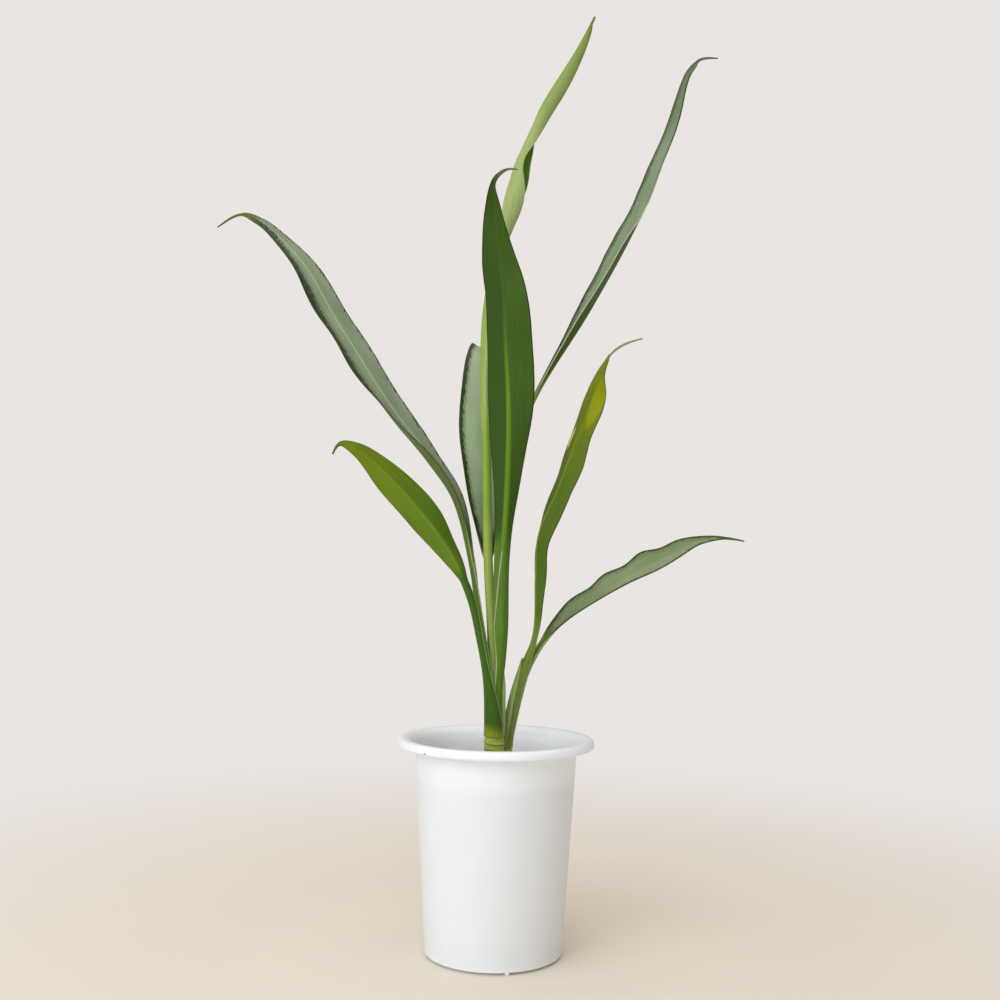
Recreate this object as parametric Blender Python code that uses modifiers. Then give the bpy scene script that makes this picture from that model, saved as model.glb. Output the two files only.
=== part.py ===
"""Potted aglaonema: a slim white plastic pot, potting mix, two canes and eight long leaves.

The pot's axis is the Z axis and the origin lies under the middle of its base.
Sizes are named in millimetres and degrees and turned into metres when a mesh is made.
The front of the plant faces -Y.
"""
import math
from dataclasses import dataclass

import bmesh
import bpy
import numpy as np
from mathutils import Matrix

MM = 0.001
GAP = 0.3
MERGE = 0.0001

# Pot
POT_HEIGHT = 162.0
LIP_RADIUS = 75.0
LIP_DEPTH = 6.8
CREST_RADIUS = 70.0
NECK_RADIUS = 61.6
NECK_HEIGHT = 149.0
FOOT_RADIUS = 52.2
FOOT_LIFT = 1.8
BASE_RADIUS = 47.0
POT_WALL = 1.5
FLOOR_THICKNESS = 2.0
POT_ROUNDING = 0.8
POT_STEPS = 48
DRAIN_COUNT = 8
DRAIN_RADIUS = 4.5
DRAIN_CIRCLE = 30.0
DRAIN_SIDES = 16
NUB_COUNT = 4
NUB_SIZE = (4.0, 2.6, 3.0)
NUB_CIRCLE = 50.4
FIRST_NUB = -78.5

# Potting mix: a low mound whose edge meets the wall
SOIL_TOP = 133.5
SOIL_EDGE = 131.5
SOIL_CROWN_RADIUS = 24.0
SOIL_SHOULDER_RADIUS = 44.0

# Leaf meshing
ACROSS = (-1.0, -0.5, 0.0, 0.5, 1.0)
ROW_SPACING = 10.0
TIP_CROWDING = 1.3
FINE_STEPS = 20
LEAST_HALF_WIDTH = 0.4
SHARP_ANGLE = 40.0

# How a stalk turns into a blade, in millimetres along the leaf or as powers
OPENING_LEAD = 10.0
OPENING_LENGTH = 50.0
STALK_FADE = 3.0
FOLD_FALL = 1.5
RIB_FALL = 1.5
TAIL_RISE = 4.0
TAIL_END = 0.06

# Colours: red, green, blue, roughness
FINISHES = {
    "white_plastic": (0.86, 0.87, 0.87, 0.32),
    "potting_mix": (0.06, 0.04, 0.028, 0.95),
    "green_cane": (0.22, 0.26, 0.03, 0.5),
    "pale_sheath": (0.45, 0.50, 0.24, 0.55),
    "dark_leaf": (0.045, 0.105, 0.022, 0.38),
    "silver_leaf": (0.20, 0.28, 0.17, 0.38),
    "olive_leaf": (0.12, 0.22, 0.02, 0.42),
    "new_leaf": (0.34, 0.45, 0.13, 0.42),
}


@dataclass
class Cane:
    """An upright cane: its axis at the root end and at the top, its radii and its leaf scars."""

    root_axis: tuple
    top_axis: tuple
    bottom: float
    top: float
    root_radius: float
    radius: float
    scars: tuple
    scar_depth: float
    steps: int = 20

    def root_profile(self, gap):
        """Tapered root end, or the plain hole round it where a gap is given."""
        return [(self.root_radius + gap, SOIL_TOP - 2.0),
                (self.root_radius * 0.85 + gap, self.bottom + 4.0),
                (self.root_radius * 0.6 + gap, self.bottom - gap),
                (0.0, self.bottom - gap)]


MAIN_CANE = Cane(root_axis=(-1.5, 0.0), top_axis=(-1.5, 0.0), bottom=96.0, top=162.2,
                 root_radius=6.6, radius=8.1, scars=(157.5, 152.5, 147.0, 141.0), scar_depth=0.5)
SIDE_CANE = Cane(root_axis=(6.4, 12.0), top_axis=(8.4, 11.5), bottom=100.0, top=151.6,
                 root_radius=3.7, radius=4.5, scars=(147.0, 141.0), scar_depth=0.35)

# Leaf bases: the lowest leaf clasps the others from outside, the newest stands in the middle
HEART_RADII = (1.3, 3.3)
INNER_RADII = (3.8, 6.1)
FULL_RADII = (3.8, 8.3)
CLASP_RADII = (7.0, 8.4)
PAIR_RADII = (1.5, 4.5)
SHEATH_RADII = (5.2, 6.1)
BUNDLE_HALF_ANGLE = 40.0
CLASP_HALF_ANGLE = 68.0
HEART_HALF_ANGLE = 118.0
PAIR_HALF_ANGLE = 73.0
SHEATH_HALF_ANGLE = 60.0
PAIR_GAP = 0.8


@dataclass
class Foot:
    """Where a leaf starts: its turn round the cane's axis and the ring sector that it fills.

    The sector holds as far as the first `clasp` distance and is a free stalk at the second.
    """

    turn: float
    radii: tuple
    half_angle: float = BUNDLE_HALF_ANGLE
    clasp: tuple = (35.0, 65.0)


@dataclass
class Leaf:
    """One leaf: the line of its midrib from the cane to the tip, and how its section changes.

    A path point is x, y, z and the roll of the upper face about the line, from `facing`.
    A pair of wave or scallop values is for the two edges. Such a value tilts or widens its half.
    """

    finish: str
    foot: Foot
    facing: float
    axis: list
    path: list
    stalk_end: float
    half_width: float
    widest_at: float = 0.5
    base_taper: float = 1.0
    tip_taper: float = 0.7
    tail: float = 1.0
    tail_from: float = 0.94
    fold: tuple = (35.0, 6.0)
    curl: float = 8.0
    stalk_half: float = 2.7
    stalk_curl: float = 75.0
    stalk_thickness: float = 2.0
    stalk_rim: float = 1.2
    blade_rim: float = 0.7
    midrib: float = 1.1
    wave: tuple = (4.0, 4.0)
    scallop: tuple = (0.0, 0.0)
    wave_length: tuple = (80.0, 75.0)
    wave_start: tuple = (0.0, 0.5)

    def points(self):
        """Foot points on the cane's axis line, at the foot's radius, then the free path."""
        turn = math.radians(self.foot.turn)
        reach = self.foot.radii[0]
        roll = (self.foot.turn - self.facing) % 360.0 - 180.0
        start = [(x + reach * math.cos(turn), y + reach * math.sin(turn), z, roll)
                 for x, y, z in self.axis]
        return start + self.path


# The axis lines that the leaf bases stand round, from the cane's top upwards
MAIN_FOOT = MAIN_CANE.top + GAP
MAIN_LINE = [(-1.5, 0.0, MAIN_FOOT), (-1.5, 0.0, 180.0), (-1.6, 0.0, 200.0)]
CLASP_LINE = [(-1.5, 0.0, MAIN_FOOT), (-1.5, -0.1, 170.0)]
SIDE_LINE = [(8.4, 11.5, SIDE_CANE.top + PAIR_GAP), (9.0, 11.4, 160.0), (11.4, 11.0, 173.0),
             (16.0, 10.0, 194.0), (21.5, 9.0, 213.0)]

LEAVES = {
    "leaf_front": Leaf(
        finish="dark_leaf", foot=Foot(-54, INNER_RADII, clasp=(40.0, 110.0)), facing=130.0, axis=MAIN_LINE,
        stalk_end=136.0, half_width=20.5, widest_at=0.54, base_taper=1.1, tip_taper=0.85,
        tail=1.8, tail_from=0.92, fold=(26.0, 22.0), stalk_half=6.8,
        wave=(3.0, 4.0), wave_length=(90.0, 80.0),
        path=[(2.5, -5, 220, -5), (3, -8, 243, -20), (3, -12, 295, -24), (5.5, -20, 358, -34),
              (5.5, -31, 413, -52), (2.5, -40, 460, -58), (0, -49, 493, -60), (-4, -58, 519, -44),
              (-8, -68, 552, -30), (-8, -82, 568, -22), (0, -90, 574, -15), (9, -96, 573, -12)]),
    "leaf_left_low": Leaf(
        finish="olive_leaf", foot=Foot(255, CLASP_RADII, CLASP_HALF_ANGLE, (0.0, 60.0)),
        facing=58.0, axis=CLASP_LINE, stalk_end=122.0, half_width=15.2, widest_at=0.38,
        base_taper=0.75, tip_taper=0.85, tail=0.9, tail_from=0.95, fold=(55.0, 12.0),
        wave=(6.0, 6.0), scallop=(0.06, 0.05), wave_length=(60.0, 58.0), wave_start=(0.6, 0.8),
        path=[(-8, -9, 205, 5), (-14, -11, 236, 0), (-22, -13, 270, 25), (-38, -20, 304, 45),
              (-64, -33, 338, 40), (-92, -46, 367, 60), (-106, -54, 377, 55),
              (-117, -59, 380, 50), (-122, -63, 372, 50)]),
    "leaf_left_long": Leaf(
        finish="silver_leaf", foot=Foot(216, INNER_RADII), facing=-14.0, axis=MAIN_LINE,
        stalk_end=140.0, half_width=17.5, widest_at=0.55, base_taper=0.75, tip_taper=0.65,
        tail=1.5, tail_from=0.94, fold=(40.0, 13.0), stalk_half=4.5,
        path=[(-10.5, 0, 225, 40), (-15, 2, 250, 35), (-21, 7, 291, 5), (-36, 15, 345, -6),
              (-58, 25, 377, -8), (-91, 37, 416, -28), (-138, 53, 486, -34), (-173, 66, 545, -33),
              (-198, 76, 574, -27), (-212, 83, 586, -23), (-228, 88, 594, -20), (-249, 89, 583, -20)]),
    "leaf_back": Leaf(
        finish="silver_leaf", foot=Foot(126, FULL_RADII), facing=-86.0, axis=MAIN_LINE,
        stalk_end=136.0, half_width=20.0, widest_at=0.43, base_taper=0.55, tip_taper=1.1,
        fold=(42.0, 8.0),
        path=[(-5, 8, 221, 20), (-6, 12, 250, 0), (-9, 16, 299, 5), (-13, 28, 360, -10),
              (-15, 41, 404, -10), (-15, 57, 440, -8), (-15, 81, 472, 0), (-16, 110, 483, 8),
              (-17, 141, 471, 10), (-18, 167, 440, 10)]),
    "leaf_right_long": Leaf(
        finish="silver_leaf", foot=Foot(36, FULL_RADII), facing=202.0, axis=MAIN_LINE,
        stalk_end=265.0, half_width=17.0, widest_at=0.45, base_taper=1.5, tip_taper=0.55,
        fold=(42.0, 2.0), wave=(3.0, 3.0),
        path=[(2, 4, 222, 10), (2, 6, 250, 0), (0, 8, 300, -6), (4, 10, 352, -10),
              (14, 18, 394, -15), (28, 29, 433, -18), (71, 44, 507, -12), (113, 57, 588, 0),
              (143, 69, 670, 0), (155, 75, 714, 5), (160, 78, 725, 15), (168, 81, 735, 17),
              (184, 84, 738, 17)]),
    "leaf_new": Leaf(
        finish="new_leaf", foot=Foot(240, HEART_RADII, HEART_HALF_ANGLE), facing=60.0,
        axis=MAIN_LINE, stalk_end=235.0, half_width=12.2, widest_at=0.6, base_taper=0.5,
        tip_taper=0.5, tail=1.0, tail_from=0.98, fold=(12.0, 8.0), curl=105.0,
        stalk_half=4.8, stalk_curl=118.0, stalk_thickness=1.7,
        scallop=(0.35, 0.35), wave_length=(107.0, 107.0), wave_start=(0.23, 0.23),
        path=[(-5.5, 0, 240, 0), (-8.5, 1, 298, 30), (-11, 2, 390, 36), (-13, 5, 441, 36),
              (-7, 9, 536, 15), (-3, 10, 560, 0), (1, 10, 586, -40), (7, 12, 608, -85),
              (12, 12, 622, -85), (20, 9, 640, -35), (28.5, 7, 656, 5), (57, 5, 706, 5),
              (70, 5, 734, 0)]),
    "leaf_right_mid": Leaf(
        finish="olive_leaf", foot=Foot(240, PAIR_RADII, PAIR_HALF_ANGLE, (60.0, 90.0)),
        facing=20.0, axis=SIDE_LINE, stalk_end=88.0, half_width=15.5, widest_at=0.6,
        base_taper=0.75, tip_taper=0.5, tail=0.9, tail_from=0.88, fold=(20.0, 2.0),
        wave=(4.0, 4.0), scallop=(0.13, 0.01), wave_length=(46.0, 51.0), wave_start=(0.53, 0.71),
        path=[(29, 0, 243, 0), (29.5, -8, 285, 8), (31, -17, 317, 1),
              (44, -25, 350, 7), (57, -34, 387, 7), (71, -50, 426, 12), (75, -66, 440, -12),
              (79, -80, 446, -15), (86, -89, 450, -15), (98, -96, 453, -15)]),
    "leaf_right_low": Leaf(
        finish="olive_leaf", foot=Foot(60, PAIR_RADII, PAIR_HALF_ANGLE, (60.0, 90.0)),
        facing=200.0, axis=SIDE_LINE, stalk_end=86.0, half_width=10.5, widest_at=0.55,
        base_taper=0.6, tip_taper=1.2, tail=0.9, tail_from=0.94, fold=(18.0, 12.0),
        wave=(5.0, 5.0), scallop=(0.16, 0.12), wave_length=(68.0, 36.0), wave_start=(0.2, 0.8),
        path=[(35, 12, 233, 20), (55, 20, 256, 33), (86, 26, 277, 30),
              (120, 36, 296, 42), (145, 45, 308, 40), (163, 51, 316, 42), (184, 56, 319, 48),
              (203, 60, 317, 47)]),
    "sheath_side": Leaf(
        finish="pale_sheath", foot=Foot(205, SHEATH_RADII, SHEATH_HALF_ANGLE, (20.0, 60.0)),
        facing=25.0, axis=SIDE_LINE, stalk_end=20.0, half_width=4.5, widest_at=0.2,
        base_taper=1.0, tip_taper=0.9, tail=0.4, tail_from=0.98, fold=(0.0, 0.0), curl=50.0,
        stalk_half=4.5, stalk_curl=58.0, stalk_thickness=0.8, stalk_rim=0.8, blade_rim=0.7,
        midrib=0.1,
        path=[(19.5, 5, 222, 0)]),
}


def clear_scene():
    """Remove every object and the collections that a first run left."""
    for item in list(bpy.data.objects):
        bpy.data.objects.remove(item, do_unlink=True)
    for group in list(bpy.data.collections):
        bpy.data.collections.remove(group)


def new_collection(name):
    """Collection linked to the scene."""
    group = bpy.data.collections.new(name)
    bpy.context.scene.collection.children.link(group)
    return group


def finish(name):
    """Material for one finish, made once and shared by the pieces that have it."""
    found = bpy.data.materials.get(name)
    if found:
        return found
    red, green, blue, roughness = FINISHES[name]
    material = bpy.data.materials.new(name)
    material.use_nodes = True
    shader = material.node_tree.nodes["Principled BSDF"]
    shader.inputs["Base Color"].default_value = (red, green, blue, 1.0)
    shader.inputs["Roughness"].default_value = roughness
    shader.inputs["Metallic"].default_value = 0.0
    material.diffuse_color = (red, green, blue, 1.0)
    return material


def add_object(name, mesh, group, material=None):
    """Object for a mesh, in a collection, with one of the finishes."""
    obj = bpy.data.objects.new(name, mesh)
    group.objects.link(obj)
    if material:
        mesh.materials.append(finish(material))
    return obj


def turned(name, profile, steps, group, material=None):
    """Solid of revolution whose profile starts on the axis and ends down its outer side."""
    mesh = bpy.data.meshes.new(name)
    points = [(x * MM, 0.0, z * MM) for x, z in profile]
    edges = [(i, i + 1) for i in range(len(points) - 1)]
    mesh.from_pydata(points, edges, [])
    obj = add_object(name, mesh, group, material)
    screw = obj.modifiers.new("Turn", "SCREW")
    screw.steps = steps
    screw.render_steps = steps
    screw.use_merge_vertices = True
    screw.merge_threshold = MERGE
    screw.use_smooth_shade = True
    return obj


def bake(obj):
    """Replace an object's mesh by its evaluated one and drop its modifiers."""
    graph = bpy.context.evaluated_depsgraph_get()
    mesh = bpy.data.meshes.new_from_object(obj.evaluated_get(graph))
    obj.modifiers.clear()
    obj.data = mesh


def combine(obj, tool, operation):
    """Boolean with a hidden tool object."""
    tool.hide_render = True
    tool.display_type = "WIRE"
    modifier = obj.modifiers.new(tool.name, "BOOLEAN")
    modifier.operation = operation
    modifier.solver = "EXACT"
    modifier.object = tool


def inner_radius(z):
    """Radius of the pot's inner wall at a height."""
    run = (z - FLOOR_THICKNESS) / (NECK_HEIGHT - FLOOR_THICKNESS)
    return FOOT_RADIUS - POT_WALL + run * (NECK_RADIUS - FOOT_RADIUS)


def pot_profile():
    """Floor, inner wall, rolled lip and tapered outer wall, ending under the base."""
    step = FLOOR_THICKNESS + FOOT_LIFT
    rounding = POT_ROUNDING
    inside = [(0.0, FLOOR_THICKNESS),
              (BASE_RADIUS - 1.0, FLOOR_THICKNESS),
              (BASE_RADIUS + 0.6, step),
              (inner_radius(step), step),
              (inner_radius(NECK_HEIGHT), NECK_HEIGHT),
              (inner_radius(NECK_HEIGHT) + rounding, NECK_HEIGHT + 4.6),
              (NECK_RADIUS + 1.2, NECK_HEIGHT + 8.6),
              (CREST_RADIUS - 3.5, POT_HEIGHT - 1.0)]
    lip = [(CREST_RADIUS, POT_HEIGHT),
           (LIP_RADIUS - 1.5, POT_HEIGHT - rounding),
           (LIP_RADIUS, POT_HEIGHT - 3.0),
           (LIP_RADIUS, POT_HEIGHT - LIP_DEPTH + 1.4),
           (LIP_RADIUS - 1.8, POT_HEIGHT - LIP_DEPTH),
           (CREST_RADIUS - 4.0, POT_HEIGHT - LIP_DEPTH - 1.0),
           (NECK_RADIUS + 1.3, NECK_HEIGHT + 3.2)]
    outside = [(NECK_RADIUS, NECK_HEIGHT),
               (FOOT_RADIUS, FOOT_LIFT + rounding),
               (FOOT_RADIUS - rounding, FOOT_LIFT),
               (BASE_RADIUS + 1.2, FOOT_LIFT),
               (BASE_RADIUS, 0.0),
               (0.0, 0.0)]
    return inside + lip + outside


def ring_of(create, count, radius, first=0.0):
    """One mesh of equal shapes set round the Z axis."""
    shapes = bmesh.new()
    for index in range(count):
        turn = Matrix.Rotation(math.radians(first) + index * math.tau / count, 4, "Z")
        create(shapes, turn @ Matrix.Translation((radius * MM, 0.0, 0.0)))
    mesh = bpy.data.meshes.new("ring")
    shapes.to_mesh(mesh)
    shapes.free()
    return mesh


def drain_shape(shapes, place):
    """Upright cylinder that goes right through the floor."""
    bmesh.ops.create_cone(shapes, cap_ends=True, segments=DRAIN_SIDES, radius1=DRAIN_RADIUS * MM,
                          radius2=DRAIN_RADIUS * MM, depth=4 * FLOOR_THICKNESS * MM, matrix=place)


def nub_shape(shapes, place):
    """Block that stands on the ground under the wall's edge."""
    length, width, height = (size * MM for size in NUB_SIZE)
    block = Matrix.Translation((0.0, 0.0, height / 2)) @ Matrix.Diagonal((length, width, height, 1.0))
    bmesh.ops.create_cube(shapes, size=1.0, matrix=place @ block)


def build_pot(parts, cutters):
    """Slim tapered pot with a flared lip, drain holes and four nubs under the wall's edge."""
    pot = turned("pot", pot_profile(), POT_STEPS, parts, "white_plastic")
    nubs = ring_of(nub_shape, NUB_COUNT, NUB_CIRCLE, FIRST_NUB)
    drains = ring_of(drain_shape, DRAIN_COUNT, DRAIN_CIRCLE)
    combine(pot, add_object("nub_tool", nubs, cutters), "UNION")
    combine(pot, add_object("drain_cutter", drains, cutters), "DIFFERENCE")


def set_leaning(obj, cane):
    """Shear a turned shape so that it follows the cane's leaning axis."""
    (low_x, low_y), (high_x, high_y) = cane.root_axis, cane.top_axis
    for v in obj.data.vertices:
        run = (v.co.z / MM - cane.bottom) / (cane.top - cane.bottom)
        v.co.x += (low_x + run * (high_x - low_x)) * MM
        v.co.y += (low_y + run * (high_y - low_y)) * MM


def build_cane(name, cane, parts):
    """Cane with a flat top, a raised ring at each old leaf scar and a tapered root end."""
    edge = 0.6
    profile = [(0.0, cane.top), (cane.radius - edge, cane.top), (cane.radius, cane.top - edge)]
    for scar in cane.scars:
        waist = cane.radius - cane.scar_depth
        profile += [(waist, scar + 1.1), (cane.radius, scar + 0.3), (waist, scar - 0.9)]
    obj = turned(name, profile + cane.root_profile(0.0), cane.steps, parts, "green_cane")
    bake(obj)
    set_leaning(obj, cane)


def soil_profile():
    """Filled body just inside the pot, with a slightly mounded top."""
    low = FLOOR_THICKNESS + GAP
    step = low + FOOT_LIFT
    return [(0.0, SOIL_TOP),
            (SOIL_CROWN_RADIUS, SOIL_TOP - 0.3),
            (SOIL_SHOULDER_RADIUS, SOIL_EDGE + 0.6),
            (inner_radius(SOIL_EDGE) - 2 * GAP, SOIL_EDGE),
            (inner_radius(SOIL_EDGE - 1.0) - GAP, SOIL_EDGE - 1.0),
            (inner_radius(step) - GAP, step),
            (BASE_RADIUS + 0.4, step),
            (BASE_RADIUS - 1.3, low),
            (0.0, low)]


def build_soil(parts, cutters):
    """Potting mix with a plain hole for each cane, flared clear of the cane above the mix."""
    soil = turned("soil", soil_profile(), POT_STEPS, parts, "potting_mix")
    for name, cane in (("main_hole", MAIN_CANE), ("side_hole", SIDE_CANE)):
        mouth = [(0.0, cane.top), (cane.root_radius + 4.0, cane.top)]
        hole = turned(name, mouth + cane.root_profile(GAP), cane.steps, cutters)
        bake(hole)
        set_leaning(hole, cane)
        combine(soil, hole, "DIFFERENCE")


def eased(value):
    """Smooth step from 0 to 1."""
    value = np.clip(value, 0.0, 1.0)
    return value * value * (3.0 - 2.0 * value)


def smooth_rows(points):
    """Rows along a smooth curve through the points, closer together towards its end.

    Returns the rows (x, y, z, roll) and their distances along the curve.
    """
    knots = np.array(points, float)
    spans = np.sqrt(np.linalg.norm(np.diff(knots[:, :3], axis=0), axis=1))
    rates = np.diff(knots, axis=0) / spans[:, None]
    slopes = np.zeros_like(knots)
    before, after = spans[:-1, None], spans[1:, None]
    slopes[1:-1] = (rates[:-1] * after + rates[1:] * before) / (before + after)
    slopes[0] = 1.5 * rates[0] - 0.5 * slopes[1]
    slopes[-1] = 1.5 * rates[-1] - 0.5 * slopes[-2]
    t = np.linspace(0.0, 1.0, FINE_STEPS, endpoint=False)[None, :, None]
    span = spans[:, None, None]
    fine = ((2 * t ** 3 - 3 * t ** 2 + 1) * knots[:-1, None]
            + (t ** 3 - 2 * t ** 2 + t) * span * slopes[:-1, None]
            + (3 * t ** 2 - 2 * t ** 3) * knots[1:, None]
            + (t ** 3 - t ** 2) * span * slopes[1:, None])
    fine = np.vstack([fine.reshape(-1, 4), knots[-1:]])
    run = np.concatenate([[0.0], np.cumsum(np.linalg.norm(np.diff(fine[:, :3], axis=0), axis=1))])
    count = int(run[-1] / ROW_SPACING)
    steps = run[-1] * (1.0 - (1.0 - np.linspace(0.0, 1.0, count)) ** TIP_CROWDING)
    return np.column_stack([np.interp(steps, run, fine[:, k]) for k in range(4)]), steps


def carried_frames(rows, facing):
    """Upper-face normal and sideways direction at each row, carried along without twisting.

    The rows' own roll angle is added at the end.
    """
    line = rows[:, :3]
    along = np.gradient(line, axis=0)
    along /= np.linalg.norm(along, axis=1)[:, None]
    angle = math.radians(facing)
    normal = np.array([math.cos(angle), math.sin(angle), 0.0])
    normal -= along[0] * normal.dot(along[0])
    normals = [normal / np.linalg.norm(normal)]
    for i in range(len(line) - 1):
        step = line[i + 1] - line[i]
        half = normals[-1] - 2.0 / step.dot(step) * step.dot(normals[-1]) * step
        turned_along = along[i] - 2.0 / step.dot(step) * step.dot(along[i]) * step
        bend = along[i + 1] - turned_along
        size = bend.dot(bend)
        if size > 1e-12:
            half = half - 2.0 / size * bend.dot(half) * bend
        normals.append(half / np.linalg.norm(half))
    normals = np.array(normals)
    sideways = np.cross(along, normals)
    roll = np.radians(rows[:, 3])[:, None]
    return (normals * np.cos(roll) + sideways * np.sin(roll),
            sideways * np.cos(roll) - normals * np.sin(roll))


def blade_width(leaf, blade):
    """Half width along the blade: a sine rise, a cosine fall and a thin drip tip."""
    part = np.clip(blade / leaf.tail_from, 0.0, 1.0)
    rise = np.sin(np.clip(part / leaf.widest_at, 0.0, 1.0) * math.pi / 2) ** leaf.base_taper
    past = np.clip((part - leaf.widest_at) / (1.0 - leaf.widest_at), 0.0, 1.0)
    fall = np.cos(past * math.pi / 2) ** leaf.tip_taper
    body = leaf.half_width * np.where(part < leaf.widest_at, rise, fall)
    tail = leaf.tail * np.sqrt(np.clip((1.0 - blade) / TAIL_END, 0.0, 1.0))
    return body, tail * eased(blade * TAIL_RISE)


def leaf_surfaces(leaf):
    """Upper and lower surface points, in millimetres, row by row from the cane to the tip."""
    rows, steps = smooth_rows(leaf.points())
    normal, sideways = carried_frames(rows, leaf.facing)
    blade = np.clip((steps - leaf.stalk_end) / (steps[-1] - leaf.stalk_end), 0.0, 1.0)
    held, loose = leaf.foot.clasp
    freed = eased((steps - held) / (loose - held))
    opened = eased((steps - leaf.stalk_end + OPENING_LEAD) / OPENING_LENGTH)
    inner, outer = leaf.foot.radii
    sector = leaf.foot.half_angle
    foot_half = inner * math.radians(sector)
    stalk = foot_half + (leaf.stalk_half - foot_half) * freed
    body, tail = blade_width(leaf, blade)
    half = np.sqrt((stalk * (1.0 - eased(blade * STALK_FADE))) ** 2 + body ** 2 + tail ** 2)
    half = np.maximum(half, LEAST_HALF_WIDTH)[:, None]
    base_fold, tip_fold = leaf.fold
    fold = np.radians(tip_fold + (base_fold - tip_fold) * (1.0 - blade) ** FOLD_FALL) * opened
    closed = sector + (leaf.stalk_curl - sector) * freed
    curl = np.radians(closed * (1.0 - opened) + leaf.curl * opened)[:, None]
    thick = (outer - inner) + (leaf.stalk_thickness - outer + inner) * freed
    rim = (outer - inner) + (leaf.stalk_rim - outer + inner) * freed
    middle = thick * (1.0 - opened) + (leaf.blade_rim + leaf.midrib * (1.0 - blade)) * opened
    rim = rim * (1.0 - opened) + leaf.blade_rim * opened

    place = np.array(ACROSS)[None, :]
    side = np.sign(place)
    reach = np.abs(place)
    which = np.where(place > 0, 0, 1)
    phase = steps[:, None] / np.array(leaf.wave_length)[which] + np.array(leaf.wave_start)[which]
    waving = np.sin(math.tau * phase) * (opened * np.sin(math.pi * blade))[:, None]
    tilt = fold[:, None] + np.radians(np.array(leaf.wave))[which] * waving
    half = half * (1.0 + np.array(leaf.scallop)[which] * waving)
    bend = tilt + curl * reach
    out = half * (np.sin(bend) - np.sin(tilt)) / curl * side
    lift = half * (np.cos(tilt) - np.cos(bend)) / curl
    thickness = rim[:, None] + (middle - rim)[:, None] * (1.0 - reach) ** RIB_FALL
    at_rib = reach == 0.0
    under_side = np.where(at_rib, 0.0, np.sin(bend) * side)
    under_down = np.where(at_rib, 1.0, np.cos(bend))

    centre = rows[:, None, :3]
    cross, up = sideways[:, None, :], normal[:, None, :]
    upper = centre + cross * out[..., None] + up * lift[..., None]
    offset = cross * under_side[..., None] - up * under_down[..., None]
    return upper, upper + offset * thickness[..., None]


def closed_sheet(name, upper, lower):
    """Closed mesh between two surfaces, split into triangles alike on both faces."""
    count, wide = upper.shape[:2]
    points = np.concatenate([upper.reshape(-1, 3), lower.reshape(-1, 3)]) * MM
    below = count * wide
    faces = []
    for i in range(count - 1):
        for j in range(wide - 1):
            a, b = i * wide + j, i * wide + j + 1
            c, d = b + wide, a + wide
            faces += [(a, b, c), (a, c, d)]
            faces += [(below + a, below + c, below + b), (below + a, below + d, below + c)]
    for i in range(count - 1):
        for j, turn in ((0, 1), (wide - 1, -1)):
            a, d = i * wide + j, (i + 1) * wide + j
            faces.append((a, d, below + d, below + a)[::turn])
    for i, turn in ((0, -1), (count - 1, 1)):
        for j in range(wide - 1):
            a, b = i * wide + j, i * wide + j + 1
            faces.append((a, b, below + b, below + a)[::turn])
    mesh = bpy.data.meshes.new(name)
    mesh.from_pydata([tuple(p) for p in points], [], faces)
    tidy = bmesh.new()
    tidy.from_mesh(mesh)
    bmesh.ops.recalc_face_normals(tidy, faces=tidy.faces)
    tidy.to_mesh(mesh)
    tidy.free()
    mesh.shade_smooth()
    mesh.set_sharp_from_angle(angle=math.radians(SHARP_ANGLE))
    return mesh


def build_leaves(parts):
    """Every leaf, and the sheath that clasps the side shoot."""
    for name, leaf in LEAVES.items():
        add_object(name, closed_sheet(name, *leaf_surfaces(leaf)), parts, leaf.finish)


def main():
    """Build every piece of the plant and its pot."""
    clear_scene()
    parts = new_collection("potted_aglaonema")
    cutters = new_collection("cutters")
    build_pot(parts, cutters)
    build_soil(parts, cutters)
    build_cane("main_stem", MAIN_CANE, parts)
    build_cane("side_stem", SIDE_CANE, parts)
    build_leaves(parts)


main()
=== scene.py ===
"""Potted aglaonema: the finished plant and pot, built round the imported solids.

Every leaf, cane and the pot is rebuilt finely on the same lines as its solid, with true edges,
ribs, veins and a procedural finish. Sizes are in millimetres and degrees, and meshes in metres.
The front of the plant faces -Y.
"""

import logging
import math
from collections.abc import Callable, Sequence
from dataclasses import dataclass, field
from enum import Enum

import bmesh
import bpy
import numpy as np
from mathutils import Matrix, Vector


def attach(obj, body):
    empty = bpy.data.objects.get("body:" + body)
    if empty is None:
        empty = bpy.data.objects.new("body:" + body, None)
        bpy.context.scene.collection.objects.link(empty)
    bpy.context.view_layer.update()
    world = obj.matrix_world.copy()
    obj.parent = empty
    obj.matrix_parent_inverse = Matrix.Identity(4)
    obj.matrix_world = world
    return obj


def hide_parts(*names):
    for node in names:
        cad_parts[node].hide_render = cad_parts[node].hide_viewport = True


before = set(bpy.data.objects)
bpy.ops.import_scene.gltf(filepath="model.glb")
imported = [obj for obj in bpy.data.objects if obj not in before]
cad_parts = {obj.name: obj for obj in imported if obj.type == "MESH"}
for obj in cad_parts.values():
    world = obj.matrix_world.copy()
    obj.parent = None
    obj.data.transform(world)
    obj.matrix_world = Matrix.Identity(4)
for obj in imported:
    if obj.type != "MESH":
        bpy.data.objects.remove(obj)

MM = 0.001
GAP = 0.3
TAIL_END = 0.06
BODY = "root"
LOG = logging.getLogger("aglaonema")

Colour = tuple[float, float, float]
Point = tuple[float, float, float]
Pair = tuple[float, float]


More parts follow.
